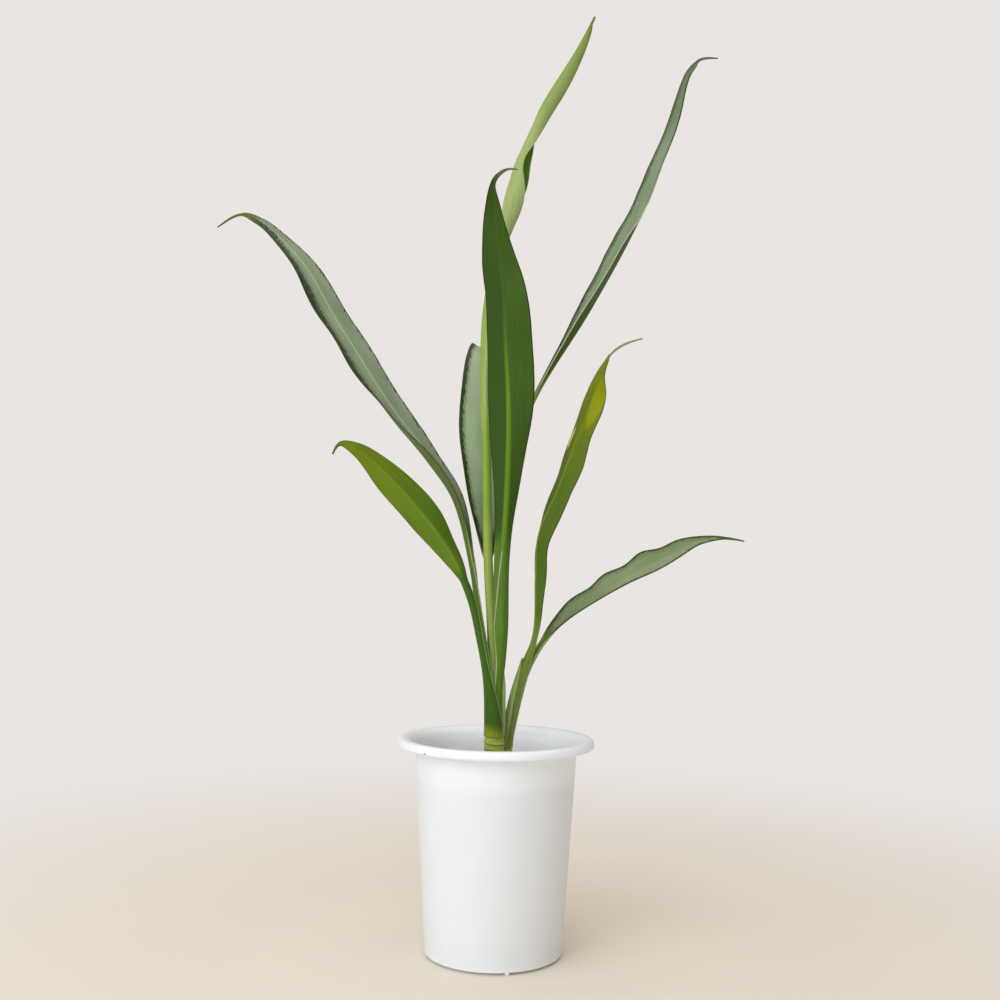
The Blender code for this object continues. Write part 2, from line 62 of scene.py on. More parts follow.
def tint(red: int, green: int, blue: int) -> Colour:
    """Linear colour for a colour seen on screen.

    Args:
        red: Screen red, 0 to 255.
        green: Screen green, 0 to 255.
        blue: Screen blue, 0 to 255.

    Returns:
        The same colour as linear red, green and blue from 0 to 1.
    """
    levels = [value / 255.0 for value in (red, green, blue)]
    linear = [v / 12.92 if v <= 0.04045 else ((v + 0.055) / 1.055) ** 2.4 for v in levels]
    return (linear[0], linear[1], linear[2])


class Side(Enum):
    """The two faces of a leaf."""

    UPPER = 0.0
    UNDER = 1.0


class Lamp(Enum):
    """Where a soft light stands: its place, size in metres, power in watts and colour."""

    KEY = ((-2.0, -1.7, 1.2), 2.8, 35.0, (0.87, 0.95, 1.0))
    FRONT = ((-0.5, -2.4, 1.4), 2.6, 34.0, (0.9, 0.97, 1.0))
    TOP = ((0.0, 0.3, 2.6), 2.8, 27.0, (1.0, 0.98, 0.95))


# Shader maths


class Socket:
    """A value inside a shader. Its operators add Math nodes."""

    def __init__(self, graph: "Graph", link: bpy.types.NodeSocket) -> None:
        """Keep the graph and the output that the value comes from."""
        self.graph = graph
        self.link = link

    def math(self, operation: str, *others: "Value") -> "Socket":
        """Add a Math node.

        Args:
            operation: The node's operation.
            others: Its second and third inputs.

        Returns:
            The node's result.
        """
        inputs = {index: value for index, value in enumerate((self, *others))}
        return self.graph.node("ShaderNodeMath", {"operation": operation}, inputs)

    def __add__(self, other: "Value") -> "Socket":
        """Sum."""
        return self.math("ADD", other)

    def __radd__(self, other: "Value") -> "Socket":
        """Sum with a number on the left."""
        return self.math("ADD", other)

    def __sub__(self, other: "Value") -> "Socket":
        """Difference."""
        return self.math("SUBTRACT", other)

    def __rsub__(self, other: "Value") -> "Socket":
        """A number minus this value."""
        return self.graph.number(other).math("SUBTRACT", self)

    def __mul__(self, other: "Value") -> "Socket":
        """Product."""
        return self.math("MULTIPLY", other)

    def __rmul__(self, other: "Value") -> "Socket":
        """Product with a number on the left."""
        return self.math("MULTIPLY", other)

    def __truediv__(self, other: "Value") -> "Socket":
        """Quotient."""
        return self.math("DIVIDE", other)

    def __pow__(self, other: "Value") -> "Socket":
        """Power."""
        return self.math("POWER", other)

    def absolute(self) -> "Socket":
        """Size without its sign."""
        return self.math("ABSOLUTE")

    def sine(self) -> "Socket":
        """Sine, from radians."""
        return self.math("SINE")

    def largest(self, other: "Value") -> "Socket":
        """The larger of two values."""
        return self.math("MAXIMUM", other)

    def above(self, other: "Value") -> "Socket":
        """1 where this value is larger, else 0."""
        return self.math("GREATER_THAN", other)

    def step(self, low: "Value", high: "Value") -> "Socket":
        """Smooth step.

        Args:
            low: Value where the step is still 0.
            high: Value where the step has reached 1.

        Returns:
            A value from 0 to 1.
        """
        settings = {"interpolation_type": "SMOOTHSTEP"}
        inputs = {"Value": self, "From Min": low, "From Max": high, "To Min": 0.0, "To Max": 1.0}
        return self.graph.node("ShaderNodeMapRange", settings, inputs)


Value = Socket | float | int


class Graph:
    """A material's node tree, with short ways to add what the finishes need."""

    def __init__(self, name: str, kind: str = "materials", shader: str = "Principled BSDF") -> None:
        """Make the material, or the surroundings, with one shader.

        Args:
            name: Its name.
            kind: The list of Blender's data that it belongs to.
            shader: The shader that its node tree starts with.
        """
        self.owner = getattr(bpy.data, kind).new(name)
        self.owner.use_nodes = True
        self.tree = self.owner.node_tree
        self.shader = self.tree.nodes[shader]
        self.known: dict[str, Socket] = {}

    def node(self, kind: str, settings: dict, inputs: dict, output: int | str = 0) -> Socket:
        """Add any node.

        Args:
            kind: The node's type.
            settings: Its properties, set before its sockets. `stops` fills a colour ramp.
            inputs: Values or links for its sockets, by name or number.
            output: The output that is used, by name or number.

        Returns:
            The chosen output.
        """
        made = self.tree.nodes.new(kind)
        for key, value in settings.items():
            if key == "stops":
                self.fill_ramp(made, value)
            else:
                setattr(made, key, value)
        for key, value in inputs.items():
            self.plug(made.inputs[key], value)
        return Socket(self, made.outputs[output])

    def fill_ramp(self, ramp: bpy.types.Node, stops: Sequence[tuple[float, Colour]]) -> None:
        """Set a colour ramp's stops.

        Args:
            ramp: The ramp node.
            stops: Positions and colours in rising order.
        """
        elements = ramp.color_ramp.elements
        while len(elements) < len(stops):
            elements.new(1.0)
        for element, (position, colour) in zip(elements, stops):
            element.position = position
            element.color = (*colour, 1.0)

    def plug(self, target: bpy.types.NodeSocket, value: "Socket | float | Sequence[float]") -> None:
        """Link or set one socket.

        Args:
            target: The socket to feed.
            value: A link, a number, or a colour or vector.
        """
        if isinstance(value, Socket):
            self.tree.links.new(value.link, target)
        elif isinstance(value, (int, float)):
            target.default_value = value
        elif len(target.default_value) == 4:
            target.default_value = (*value[:3], 1.0)
        else:
            target.default_value = tuple(value)

    def number(self, value: Value) -> Socket:
        """A number as a value that operators work on."""
        if isinstance(value, Socket):
            return value
        made = self.tree.nodes.new("ShaderNodeValue")
        made.outputs[0].default_value = float(value)
        return Socket(self, made.outputs[0])

    def attribute(self, name: str) -> Socket:
        """A number stored on the mesh, read once per material."""
        if name not in self.known:
            settings = {"attribute_type": "GEOMETRY", "attribute_name": name}
            self.known[name] = self.node("ShaderNodeAttribute", settings, {}, "Fac")
        return self.known[name]

    def place(self) -> Socket:
        """The point on the object, in metres."""
        if "place" not in self.known:
            self.known["place"] = self.node("ShaderNodeTexCoord", {}, {}, "Object")
        return self.known["place"]

    def height(self) -> Socket:
        """Height above the ground in metres."""
        return self.node("ShaderNodeSeparateXYZ", {}, {0: self.place()}, 2)

    def vector(self, x: Value, y: Value, z: Value) -> Socket:
        """Vector made of three values."""
        return self.node("ShaderNodeCombineXYZ", {}, {0: x, 1: y, 2: z})

    def noise(self, at: Socket, scale: float, detail: float = 2.0, roughness: float = 0.5) -> Socket:
        """Soft noise from 0 to 1.

        Args:
            at: Where it is read.
            scale: Its fineness.
            detail: Extra octaves.
            roughness: Strength of the extra octaves.

        Returns:
            The noise value.
        """
        inputs = {"Vector": at, "Scale": scale, "Detail": detail, "Roughness": roughness}
        return self.node("ShaderNodeTexNoise", {"noise_dimensions": "3D"}, inputs)

    def blend(self, share: Value, first: "Socket | Colour", second: "Socket | Colour",
              mode: str = "MIX") -> Socket:
        """Mix two colours.

        Args:
            share: How much of the second colour, from 0 to 1.
            first: Colour at 0.
            second: Colour at 1.
            mode: The way that they mix.

        Returns:
            The mixed colour.
        """
        settings = {"data_type": "RGBA", "blend_type": mode, "clamp_factor": True}
        return self.node("ShaderNodeMix", settings, {0: share, 6: first, 7: second}, 2)

    def bump(self, height: Value, distance: float, strength: float = 1.0) -> Socket:
        """Surface relief.

        Args:
            height: Relief from 0 to 1.
            distance: Depth in metres of a height of 1.
            strength: Share of the effect.

        Returns:
            A normal for the shader.
        """
        inputs = {"Height": height, "Distance": distance, "Strength": strength}
        return self.node("ShaderNodeBump", {}, inputs)

    def dress(self, **values: "Socket | float | Sequence[float]") -> bpy.types.Material | bpy.types.World:
        """Feed the shader's own sockets.

        Args:
            values: Socket names with _ for a blank, and what feeds them.

        Returns:
            The finished material or surroundings.
        """
        for name, value in values.items():
            self.plug(self.shader.inputs[name.replace("_", " ")], value)
        return self.owner


# Finishes


@dataclass(frozen=True)
class PotPlastic:
    """Thin white moulded plastic, lightly dusted low down, with painted shade on the lip."""

    white: Colour = tint(240, 244, 252)
    # Greyish tan for the dirt low down, also used for the painted shade on the lip.
    dust_and_shade: Colour = tint(196, 184, 160)
    speck: Colour = tint(70, 62, 55)
    specks: tuple[Point, ...] = ((-0.0516, -0.0544, 0.1567), (-0.0632, 0.0010, 0.1585))
    speck_radius: float = 0.0011

    def material(self) -> bpy.types.Material:
        """White plastic with soft moulding waves, fine scuffs, painted shade on the lip and two specks of soil."""
        graph = Graph("pot_plastic")
        at = graph.place()
        cloud = graph.noise(at, 14.0, 3.0)
        grain = graph.noise(at, 420.0, 2.0)
        scuff = graph.noise(graph.node("ShaderNodeMapping", {}, {0: at, "Scale": (60.0, 60.0, 900.0)}), 1.0, 2.0)
        low = 1 - graph.height().step(0.0, 0.03)
        # Painted shade: the lip is greyed a little to tone down its bright light.
        lip_shade = graph.height().step(0.151, 0.157) * 0.15
        dust_and_lip_shade = low * 0.16 * grain + cloud.step(0.55, 0.8) * 0.05 + scuff.step(0.62, 0.8) * 0.05 + lip_shade
        colour = graph.blend(dust_and_lip_shade, self.white, self.dust_and_shade)
        for speck in self.specks:
            apart = graph.node("ShaderNodeVectorMath", {"operation": "DISTANCE"}, {0: at, 1: speck}, "Value")
            spot = 1 - apart.step(self.speck_radius * 0.5, self.speck_radius)
            colour = graph.blend(spot * 0.8, colour, self.speck)
        relief = grain * 0.25 + cloud + scuff * 0.15
        return graph.dress(Base_Color=colour, Roughness=0.3 + grain * 0.1 + scuff * 0.06,
                           IOR=1.49, Normal=graph.bump(relief, 0.0004, 0.35), Subsurface_Weight=0.6,
                           Subsurface_Radius=(1.0, 0.98, 0.95), Subsurface_Scale=0.005)


@dataclass(frozen=True)
class MixFinish:
    """Damp potting mix: dark peat with brown fibres."""

    peat: Colour = tint(52, 38, 28)
    earth: Colour = tint(92, 68, 48)

    def material(self) -> bpy.types.Material:
        """Dark matt mix for the filling under the crumbs."""
        graph = Graph("potting_mix")
        at = graph.place()
        clod = graph.noise(at, 160.0, 4.0, 0.65)
        fine = graph.noise(at, 700.0, 2.0)
        colour = graph.blend(clod.step(0.35, 0.7), self.peat, self.earth)
        return graph.dress(Base_Color=colour, Roughness=0.86 + fine * 0.12,
                           Normal=graph.bump(clod + fine * 0.3, 0.002, 0.8))


@dataclass(frozen=True)
class CrumbFinish:
    """Loose grains on the mix: peat crumbs, bark chips and a few pale grains of pumice."""

    peat: Colour = tint(50, 36, 27)
    bark: Colour = tint(112, 76, 50)
    pumice: Colour = tint(188, 178, 160)

    def material(self) -> bpy.types.Material:
        """Grains coloured by what they are, with their own shade each."""
        graph = Graph("mix_crumbs")
        at = graph.place()
        kind = graph.attribute("kind")
        shade = graph.attribute("shade")
        pitted = graph.noise(at, 900.0, 3.0, 0.6)
        colour = graph.blend(kind.step(0.4, 0.45), self.peat, self.bark)
        colour = graph.blend(kind.step(0.9, 0.95), colour, self.pumice)
        darker = graph.blend(0.55 * shade + pitted * 0.3, colour, tint(24, 17, 12))
        return graph.dress(Base_Color=darker, Roughness=0.78 + pitted * 0.2,
                           Normal=graph.bump(pitted, 0.0006, 0.8))


@dataclass(frozen=True)
class CaneSkin:
    """Green cane with paler rings where old leaves stood."""

    green: Colour = tint(126, 148, 26)
    pale: Colour = tint(176, 184, 78)
    scar: Colour = tint(116, 92, 40)
    earthy: Colour = tint(110, 88, 52)

    def material(self) -> bpy.types.Material:
        """Skin with fine lengthwise lines, ring scars and a browner foot."""
        graph = Graph("cane_skin")
        at = graph.place()
        ring = graph.attribute("ring")
        lines = graph.noise(graph.node("ShaderNodeMapping", {}, {0: at, "Scale": (900.0, 900.0, 60.0)}), 1.0, 3.0)
        patch = graph.noise(at, 110.0, 3.0)
        colour = graph.blend(patch.step(0.35, 0.7) * 0.75 + lines * 0.2, self.green, self.pale)
        colour = graph.blend(ring * (0.45 + lines * 0.5), colour, self.scar)
        low = 1 - graph.height().step(0.131, 0.147)
        colour = graph.blend(low * (0.45 + patch * 0.5), colour, self.earthy)
        return graph.dress(Base_Color=colour, Roughness=0.42 + lines * 0.16, Subsurface_Weight=0.0,
                           Normal=graph.bump(lines * 0.6 + ring, 0.0003, 0.7))


@dataclass(frozen=True)
class Scar:
    """Small mark on a leaf: its place along and across in millimetres, half sizes and colour."""

    along: float
    across: float
    half_length: float
    half_width: float
    colour: Colour


@dataclass(frozen=True)
class Seam:
    """Margin of a sheath that shows on the stalk as a pale line from one point to another."""

    start: Pair
    end: Pair
    beyond: Colour
    line: Colour = tint(176, 164, 140)


@dataclass(frozen=True)
class Wing:
    """Thin pale margin of a sheath on the side of +1, with a dried end."""

    start: float
    end: float
    width: float
    dried: float
    pale: Colour = tint(176, 188, 130)
    brown: Colour = tint(158, 130, 92)


@dataclass(frozen=True)
class LeafSkin:
    """Colours and markings of one leaf. Each pair is for the side of +1 and the side of -1."""

    name: str
    green: Colour
    silver: Colour = tint(140, 156, 132)
    silvered: float = 0.0
    # Share of painted shade that dulls the silver of each half towards green.
    painted_half_shade: Pair = (0.0, 0.0)
    margin: Pair = (2.0, 2.0)
    jag: float = 1.6
    mottled: Pair = (0.0, 0.0)
    mottle_reach: float = 6.0
    rib: Colour = tint(150, 168, 130)
    rib_half: float = 0.7
    rib_strength: float = 0.6
    rib_shift: float = 0.0
    under: tuple[Colour, Colour] = (tint(70, 100, 50), tint(70, 100, 50))
    under_rib: Colour = tint(104, 140, 50)
    under_rib_half: float = 1.2
    under_rib_strength: float = 0.6
    under_rib_fade: Pair = (0.3, 0.8)
    ripe: Colour = tint(150, 146, 44)
    ripe_share: float = 0.0
    ripe_from: float = 0.4
    edge: Colour = tint(46, 62, 34)
    edge_far: Colour | None = None
    edge_width: float = 0.5
    edge_strength: float = 0.6
    stalk: Colour = tint(98, 128, 62)
    stalk_edge: Colour = tint(150, 168, 110)
    tail: Colour = tint(110, 112, 60)
    tail_from: float = 0.94
    streaks: float = 0.25
    streak: Colour = tint(62, 66, 34)
    foot: Colour = tint(138, 150, 46)
    foot_reach: float = 9.0
    veins: float = 0.03
    roughness: float = 0.36
    seed: float = 0.0
    scars: tuple[Scar, ...] = ()
    seam: Seam | None = None
    wing: Wing | None = None

    def material(self) -> bpy.types.Material:
        """Leaf finish made of its two faces, stalk, edges, scars and drip tip."""
        graph = Graph(self.name)
        along = graph.attribute("along")
        across = graph.attribute("across")
        edge = graph.attribute("edge")
        blade = graph.attribute("blade")
        under = graph.attribute("under")
        off = across.absolute()
        plus = across.above(0.0)
        seed = self.seed + 40.0 * under
        streak = graph.noise(graph.vector(across * 1.3, along * 0.03, seed), 1.0, 3.0, 0.6)
        hair = graph.noise(graph.vector(across * 5.0, along * 0.05, seed), 1.0, 2.0)
        cloud = graph.noise(graph.vector(across * 0.06, along * 0.02, seed + 7.0), 1.0, 2.0)
        branch = along - off * 2.2
        stroke = graph.noise(graph.vector(branch * 0.22, off * 0.13, seed + 3.0), 1.0, 3.0, 0.6)
        vein = ((branch * 0.52 + streak * 1.6 + cloud * 3.0).sine() * 0.5 + 0.5) ** 5.0
        grain = graph.noise(graph.vector(branch * 0.9, off * 0.6, seed + 5.0), 1.0, 2.0)
        upper = self.upper_colour(graph, edge, across, blade, stroke, grain, cloud, vein, streak)
        lower = self.lower_colour(graph, off, plus, blade, cloud, vein, streak, hair)
        colour = graph.blend(under.step(0.45, 0.55), upper, lower)
        ripe = (blade + cloud * 0.2).step(self.ripe_from, self.ripe_from + 0.5) * self.ripe_share
        colour = graph.blend(ripe, colour, self.ripe)
        rim = 1 - edge.step(self.edge_width * 0.5, self.edge_width * 1.5)
        grown = blade.step(0.0, 0.06)
        outline = graph.blend(blade.step(0.5, 0.7).largest(1 - plus), self.edge, self.edge_far or self.edge)
        colour = graph.blend(rim * grown * self.edge_strength, colour, outline)
        stalk = self.stalk_colour(graph, edge, along, across, streak, hair, cloud)
        colour = graph.blend(1 - blade.step(0.0, 0.09), colour, stalk)
        if self.wing:
            colour = self.winged(graph, colour, edge, along, plus, streak)
        for scar in self.scars:
            reach = ((along - scar.along) / scar.half_length) ** 2.0 + ((across - scar.across) / scar.half_width) ** 2.0
            colour = graph.blend(1 - (reach + streak).step(0.9, 1.7), colour, scar.colour)
        colour = graph.blend(blade.step(self.tail_from - 0.02, self.tail_from + 0.02) * 0.8, colour, self.tail)
        relief = vein * 0.08 + hair * 0.12 + streak * 0.5
        return graph.dress(Base_Color=colour, Normal=graph.bump(relief, 0.00022, 0.7),
                           Roughness=self.roughness + streak * 0.12 + under * 0.07,
                           IOR=1.4, Specular_IOR_Level=0.2)

    def upper_colour(self, graph: Graph, edge: Socket, across: Socket, blade: Socket, stroke: Socket,
                     grain: Socket, cloud: Socket, vein: Socket, streak: Socket) -> Socket:
        """Upper face: green margins round a silver middle, painted shade on one half, and the midrib's line.

        Args:
            graph: The leaf's node tree.
            edge: Distance from the margin in millimetres.
            across: Signed distance from the fold in millimetres.
            blade: Place along the blade, from 0 to 1.
            stroke: Small noise drawn out along the side veins.
            grain: The same, finer.
            cloud: Broad noise.
            vein: Side veins, from 0 to 1.
            streak: Lengthwise noise.

        Returns:
            The upper face's colour.
        """
        side = across - blade * (1 - blade) * (4.0 * self.rib_shift)
        off = side.absolute()
        plus = side.above(0.0)
        edge = edge + (1 - plus) * across.largest(0.0) * 2.0
        margin = self.sided(self.margin, plus)
        ragged = edge + ((stroke - 0.5) * 4.0 + (grain - 0.5) * 3.0) * self.jag
        silver = ragged.step(margin - 0.3, margin + 0.3)
        zone = 1 - edge.step(margin + self.mottle_reach * 0.2, margin + self.mottle_reach)
        holes = (stroke * 0.45 + grain * 0.55 + zone * 0.2).step(0.58, 0.62) * self.sided(self.mottled, plus)
        holes = holes * zone.step(0.0, 0.3)
        silver = silver * (1 - holes) * self.silvered * blade.step(0.02, 0.1) * (1 - blade.step(0.95, 0.985))
        green = graph.blend(streak.step(0.35, 0.7) * self.streaks, self.green, self.streak)
        # Painted shade: the silver of one half is dulled towards green, as the half that faces away from the light.
        plain = graph.blend(self.sided(self.painted_half_shade, plus), self.silver, self.green)
        bright = graph.blend(cloud.step(0.3, 0.7) * 0.2 + vein * self.veins + streak * 0.12, plain, self.green)
        colour = graph.blend(silver, green, bright)
        line = (1 - off.step(self.rib_half * 0.4, self.rib_half * 1.3)) * self.rib_strength
        return graph.blend(line * (1 - blade.step(0.75, 1.0)), colour, self.rib)

    def sided(self, pair: Pair, plus: Socket) -> Socket:
        """The pair's first value on the side of +1 and its second on the other."""
        return plus * (pair[0] - pair[1]) + pair[1]

    def lower_colour(self, graph: Graph, off: Socket, plus: Socket, blade: Socket, cloud: Socket, vein: Socket,
                     streak: Socket, hair: Socket) -> Socket:
        """Underside: plain, with the raised midrib brighter and fine lengthwise lines.

        Args:
            graph: The leaf's node tree.
            off: Distance from the midrib in millimetres.
            plus: 1 on the side of +1.
            blade: Place along the blade, from 0 to 1.
            cloud: Broad noise.
            vein: Side veins, from 0 to 1.
            streak: Lengthwise noise.
            hair: Very fine lengthwise noise.

        Returns:
            The underside's colour.
        """
        first, second = self.under
        plain = graph.blend(plus, second, first)
        lined = streak.step(0.4, 0.68) * self.streaks + hair * self.streaks * 0.3 + vein * self.veins
        colour = graph.blend(lined + cloud * 0.1, plain, self.streak)
        width = self.under_rib_half * (1.2 - blade)
        line = (1 - off.step(width * 0.35, width * 1.3)) * (1 - blade.step(*self.under_rib_fade))
        return graph.blend(line * self.under_rib_strength, colour, self.under_rib)

    def stalk_colour(self, graph: Graph, edge: Socket, along: Socket, across: Socket, streak: Socket,
                     hair: Socket, cloud: Socket) -> Socket:
        """Stalk and sheath: fine lengthwise lines, a pale thin margin and a yellower foot.

        Args:
            graph: The leaf's node tree.
            edge: Distance from the margin in millimetres.
            along: Distance from the foot in millimetres.
            across: Signed distance from the midrib in millimetres.
            streak: Lengthwise noise.
            hair: Very fine lengthwise noise.
            cloud: Broad noise.

        Returns:
            The stalk's colour.
        """
        colour = graph.blend(streak.step(0.35, 0.7) * 0.3 + hair * 0.15 + cloud * 0.1, self.stalk, self.edge)
        low = 1 - (along - across * 0.35 + streak * 3.0).step(self.foot_reach * 0.2, self.foot_reach)
        colour = graph.blend(low * 0.85, colour, self.foot)
        colour = graph.blend(1 - edge.step(0.2, 0.7), colour, self.stalk_edge)
        if not self.seam:
            return colour
        (low_end, low_side), (high_end, high_side) = self.seam.start, self.seam.end
        past = across - low_side - (along - low_end) * ((high_side - low_side) / (high_end - low_end))
        within = along.step(low_end, low_end + 6.0) * (1 - along.step(high_end - 1.0, high_end))
        colour = graph.blend(past.step(-0.2, 0.4) * within * 0.7, colour, self.seam.beyond)
        return graph.blend((1 - past.absolute().step(0.15, 0.55)) * within * 0.8, colour, self.seam.line)

    def winged(self, graph: Graph, colour: Socket, edge: Socket, along: Socket, plus: Socket,
               streak: Socket) -> Socket:
        """Colour with the sheath's pale margin and its dried end laid over it.

        Args:
            graph: The leaf's node tree.
            colour: The colour below.
            edge: Distance from the margin in millimetres.
            along: Distance from the foot in millimetres.
            plus: 1 on the side of +1.
            streak: Lengthwise noise.

        Returns:
            The joined colour.
        """
        wing = self.wing
        narrow = 1 - edge.step(wing.width * 0.7, wing.width)
        pale = narrow * plus * along.step(wing.start, wing.start + 16.0) * (1 - along.step(wing.end - 1.0, wing.end))
        colour = graph.blend(pale * 0.85, colour, wing.pale)
        tip = wing.end + wing.dried
        shrunk = 1 - (edge + (along - wing.end) * (wing.width / wing.dried)).step(wing.width * 0.8, wing.width)
        brown = shrunk * plus * along.step(wing.end - 2.0, wing.end) * (1 - along.step(tip - 1.0, tip))
        return graph.blend(brown * (0.6 + streak * 0.5), colour, wing.brown)


@dataclass(frozen=True)
class SheathSkin:
    """Thin half-clear sheath with a brown torn edge."""

    pale: Colour = tint(152, 174, 96)
    deep: Colour = tint(104, 132, 60)
    brown: Colour = tint(146, 112, 62)

    def material(self) -> bpy.types.Material:
        """Papery sheath with lengthwise lines."""
        graph = Graph("sheath_paper")
        across, along = graph.attribute("across"), graph.attribute("along")
        edge = graph.attribute("edge")
        lines = graph.noise(graph.vector(across * 3.0, along * 0.07, 1.5), 1.0, 3.0)
        patch = graph.noise(graph.vector(across * 0.3, along * 0.14, 8.0), 1.0, 2.0)
        colour = graph.blend(lines * 0.5 + patch * 0.4, self.pale, self.deep)
        rim = 1 - edge.step(0.1, 0.4)
        dried = (along + patch * 14.0).step(28.0, 44.0)
        colour = graph.blend(rim * 0.35 + rim * dried * 0.4, colour, self.brown)
        return graph.dress(Base_Color=colour, Roughness=0.5 + lines * 0.2,
                           Normal=graph.bump(lines, 0.0002, 0.8))


@dataclass(frozen=True)
class FloorFinish:
    """Pale ground that fades into the backdrop's colour far away."""

    near: Colour = tint(232, 223, 210)
    far: Colour = tint(234, 229, 226)

    def material(self) -> bpy.types.Material:
        """Cream near the pot and backdrop coloured from a metre away."""
        graph = Graph("floor_paper")
        at = graph.place()
        away = graph.node("ShaderNodeVectorMath", {"operation": "LENGTH"}, {0: at}, "Value")
        distant = away.step(0.05, 0.95)
        wash = graph.noise(at, 3.0, 3.0)
        colour = graph.blend(wash * 0.08, self.near, self.far)
        colour = graph.blend(distant, colour, (0.0, 0.0, 0.0))
        glow = graph.blend(distant, (0.0, 0.0, 0.0), self.far)
        return graph.dress(Base_Color=colour, Roughness=0.9 + wash * 0.05, Emission_Color=glow,
                           Emission_Strength=1.0, Specular_IOR_Level=0.0)


# Meshes


def add_piece(name: str, mesh: bpy.types.Mesh, material: bpy.types.Material, slot: str,
              *nodes: str) -> bpy.types.Object:
    """Put a finished mesh in the scene as one piece of the plant.

    Args:
        name: The piece's name.
        mesh: Its mesh, in metres.
        material: Its finish.
        slot: The record's material slot that it belongs to; not used.
        nodes: The solids that it stands for.

    Returns:
        The piece.
    """
    piece = bpy.data.objects.new(name, mesh)
    bpy.context.scene.collection.objects.link(piece)
    mesh.materials.clear()
    mesh.materials.append(material)
    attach(piece, BODY)
    if nodes:
        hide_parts(*nodes)
    return piece


def store(mesh: bpy.types.Mesh, name: str, values: np.ndarray) -> None:
    """Keep one number for each vertex on the mesh.

    Args:
        mesh: The mesh.
        name: The attribute's name.
        values: One number a vertex.
    """
    layer = mesh.attributes.new(name, "FLOAT", "POINT")
    layer.data.foreach_set("value", np.asarray(values, np.float32).ravel())


def baked(piece: bpy.types.Object) -> bpy.types.Mesh:
    """Mesh of an object with its modifiers applied.

    Args:
        piece: The object.

    Returns:
        A new mesh.
    """
    graph = bpy.context.evaluated_depsgraph_get()
    return bpy.data.meshes.new_from_object(piece.evaluated_get(graph))


def turned(name: str, profile: Sequence[Pair], steps: int) -> bpy.types.Object:
    """Solid of revolution about Z.

    Args:
        name: The object's name.
        profile: Radius and height pairs in millimetres, from the axis and back to it.
        steps: Steps round the axis.

    Returns:
        The object with its Screw modifier applied.
    """
    mesh = bpy.data.meshes.new(name)
    points = [(x * MM, 0.0, z * MM) for x, z in profile]
    mesh.from_pydata(points, [(i, i + 1) for i in range(len(points) - 1)], [])
    piece = bpy.data.objects.new(name, mesh)
    bpy.context.scene.collection.objects.link(piece)
    screw = piece.modifiers.new("Turn", "SCREW")
    screw.steps = screw.render_steps = steps
    screw.use_merge_vertices = True
    screw.merge_threshold = 0.00001
    screw.use_smooth_shade = True
    piece.data = baked(piece)
    piece.modifiers.clear()
    return piece


def rounded(corners: Sequence[tuple[float, float, float]], pieces: int = 5) -> list[Pair]:
    """Profile with its corners rounded by short curves.

    Args:
        corners: Radius, height and how far along each side the rounding starts.
        pieces: Steps of each rounding.

    Returns:
        The rounded profile.
    """
    out: list[Pair] = []
    points = [Vector(corner[:2]) for corner in corners]
    for index, corner in enumerate(corners):
        reach = corner[2]
        if reach <= 0.0 or index in (0, len(corners) - 1):
            out.append((corner[0], corner[1]))
            continue
        here, before, after = points[index], points[index - 1], points[index + 1]
        start = here + (before - here).normalized() * min(reach, (before - here).length * 0.48)
        end = here + (after - here).normalized() * min(reach, (after - here).length * 0.48)
        for k in range(pieces + 1):
            t = k / pieces
            spot = start * (1 - t) ** 2 + here * 2 * t * (1 - t) + end * t ** 2
            out.append((spot.x, spot.y))
    return out


def eased(value: np.ndarray) -> np.ndarray:
    """Smooth step from 0 to 1."""
    value = np.clip(value, 0.0, 1.0)
    return value * value * (3.0 - 2.0 * value)


def wavy(draw: np.random.Generator, at: np.ndarray, lengths: Pair, terms: int = 6) -> np.ndarray:
    """Gentle irregular wave along a line.

    Args:
        draw: Seeded random numbers.
        at: Distances in millimetres.
        lengths: Shortest and longest wave in millimetres.
        terms: How many sines are added.

    Returns:
        Values of about -1 to 1.
    """
    total = np.zeros_like(at)
    for _ in range(terms):
        length = draw.uniform(*lengths)
        total += np.sin(math.tau * (at / length + draw.random()))
    return total / math.sqrt(terms * 2.0)


# Pot and potting mix


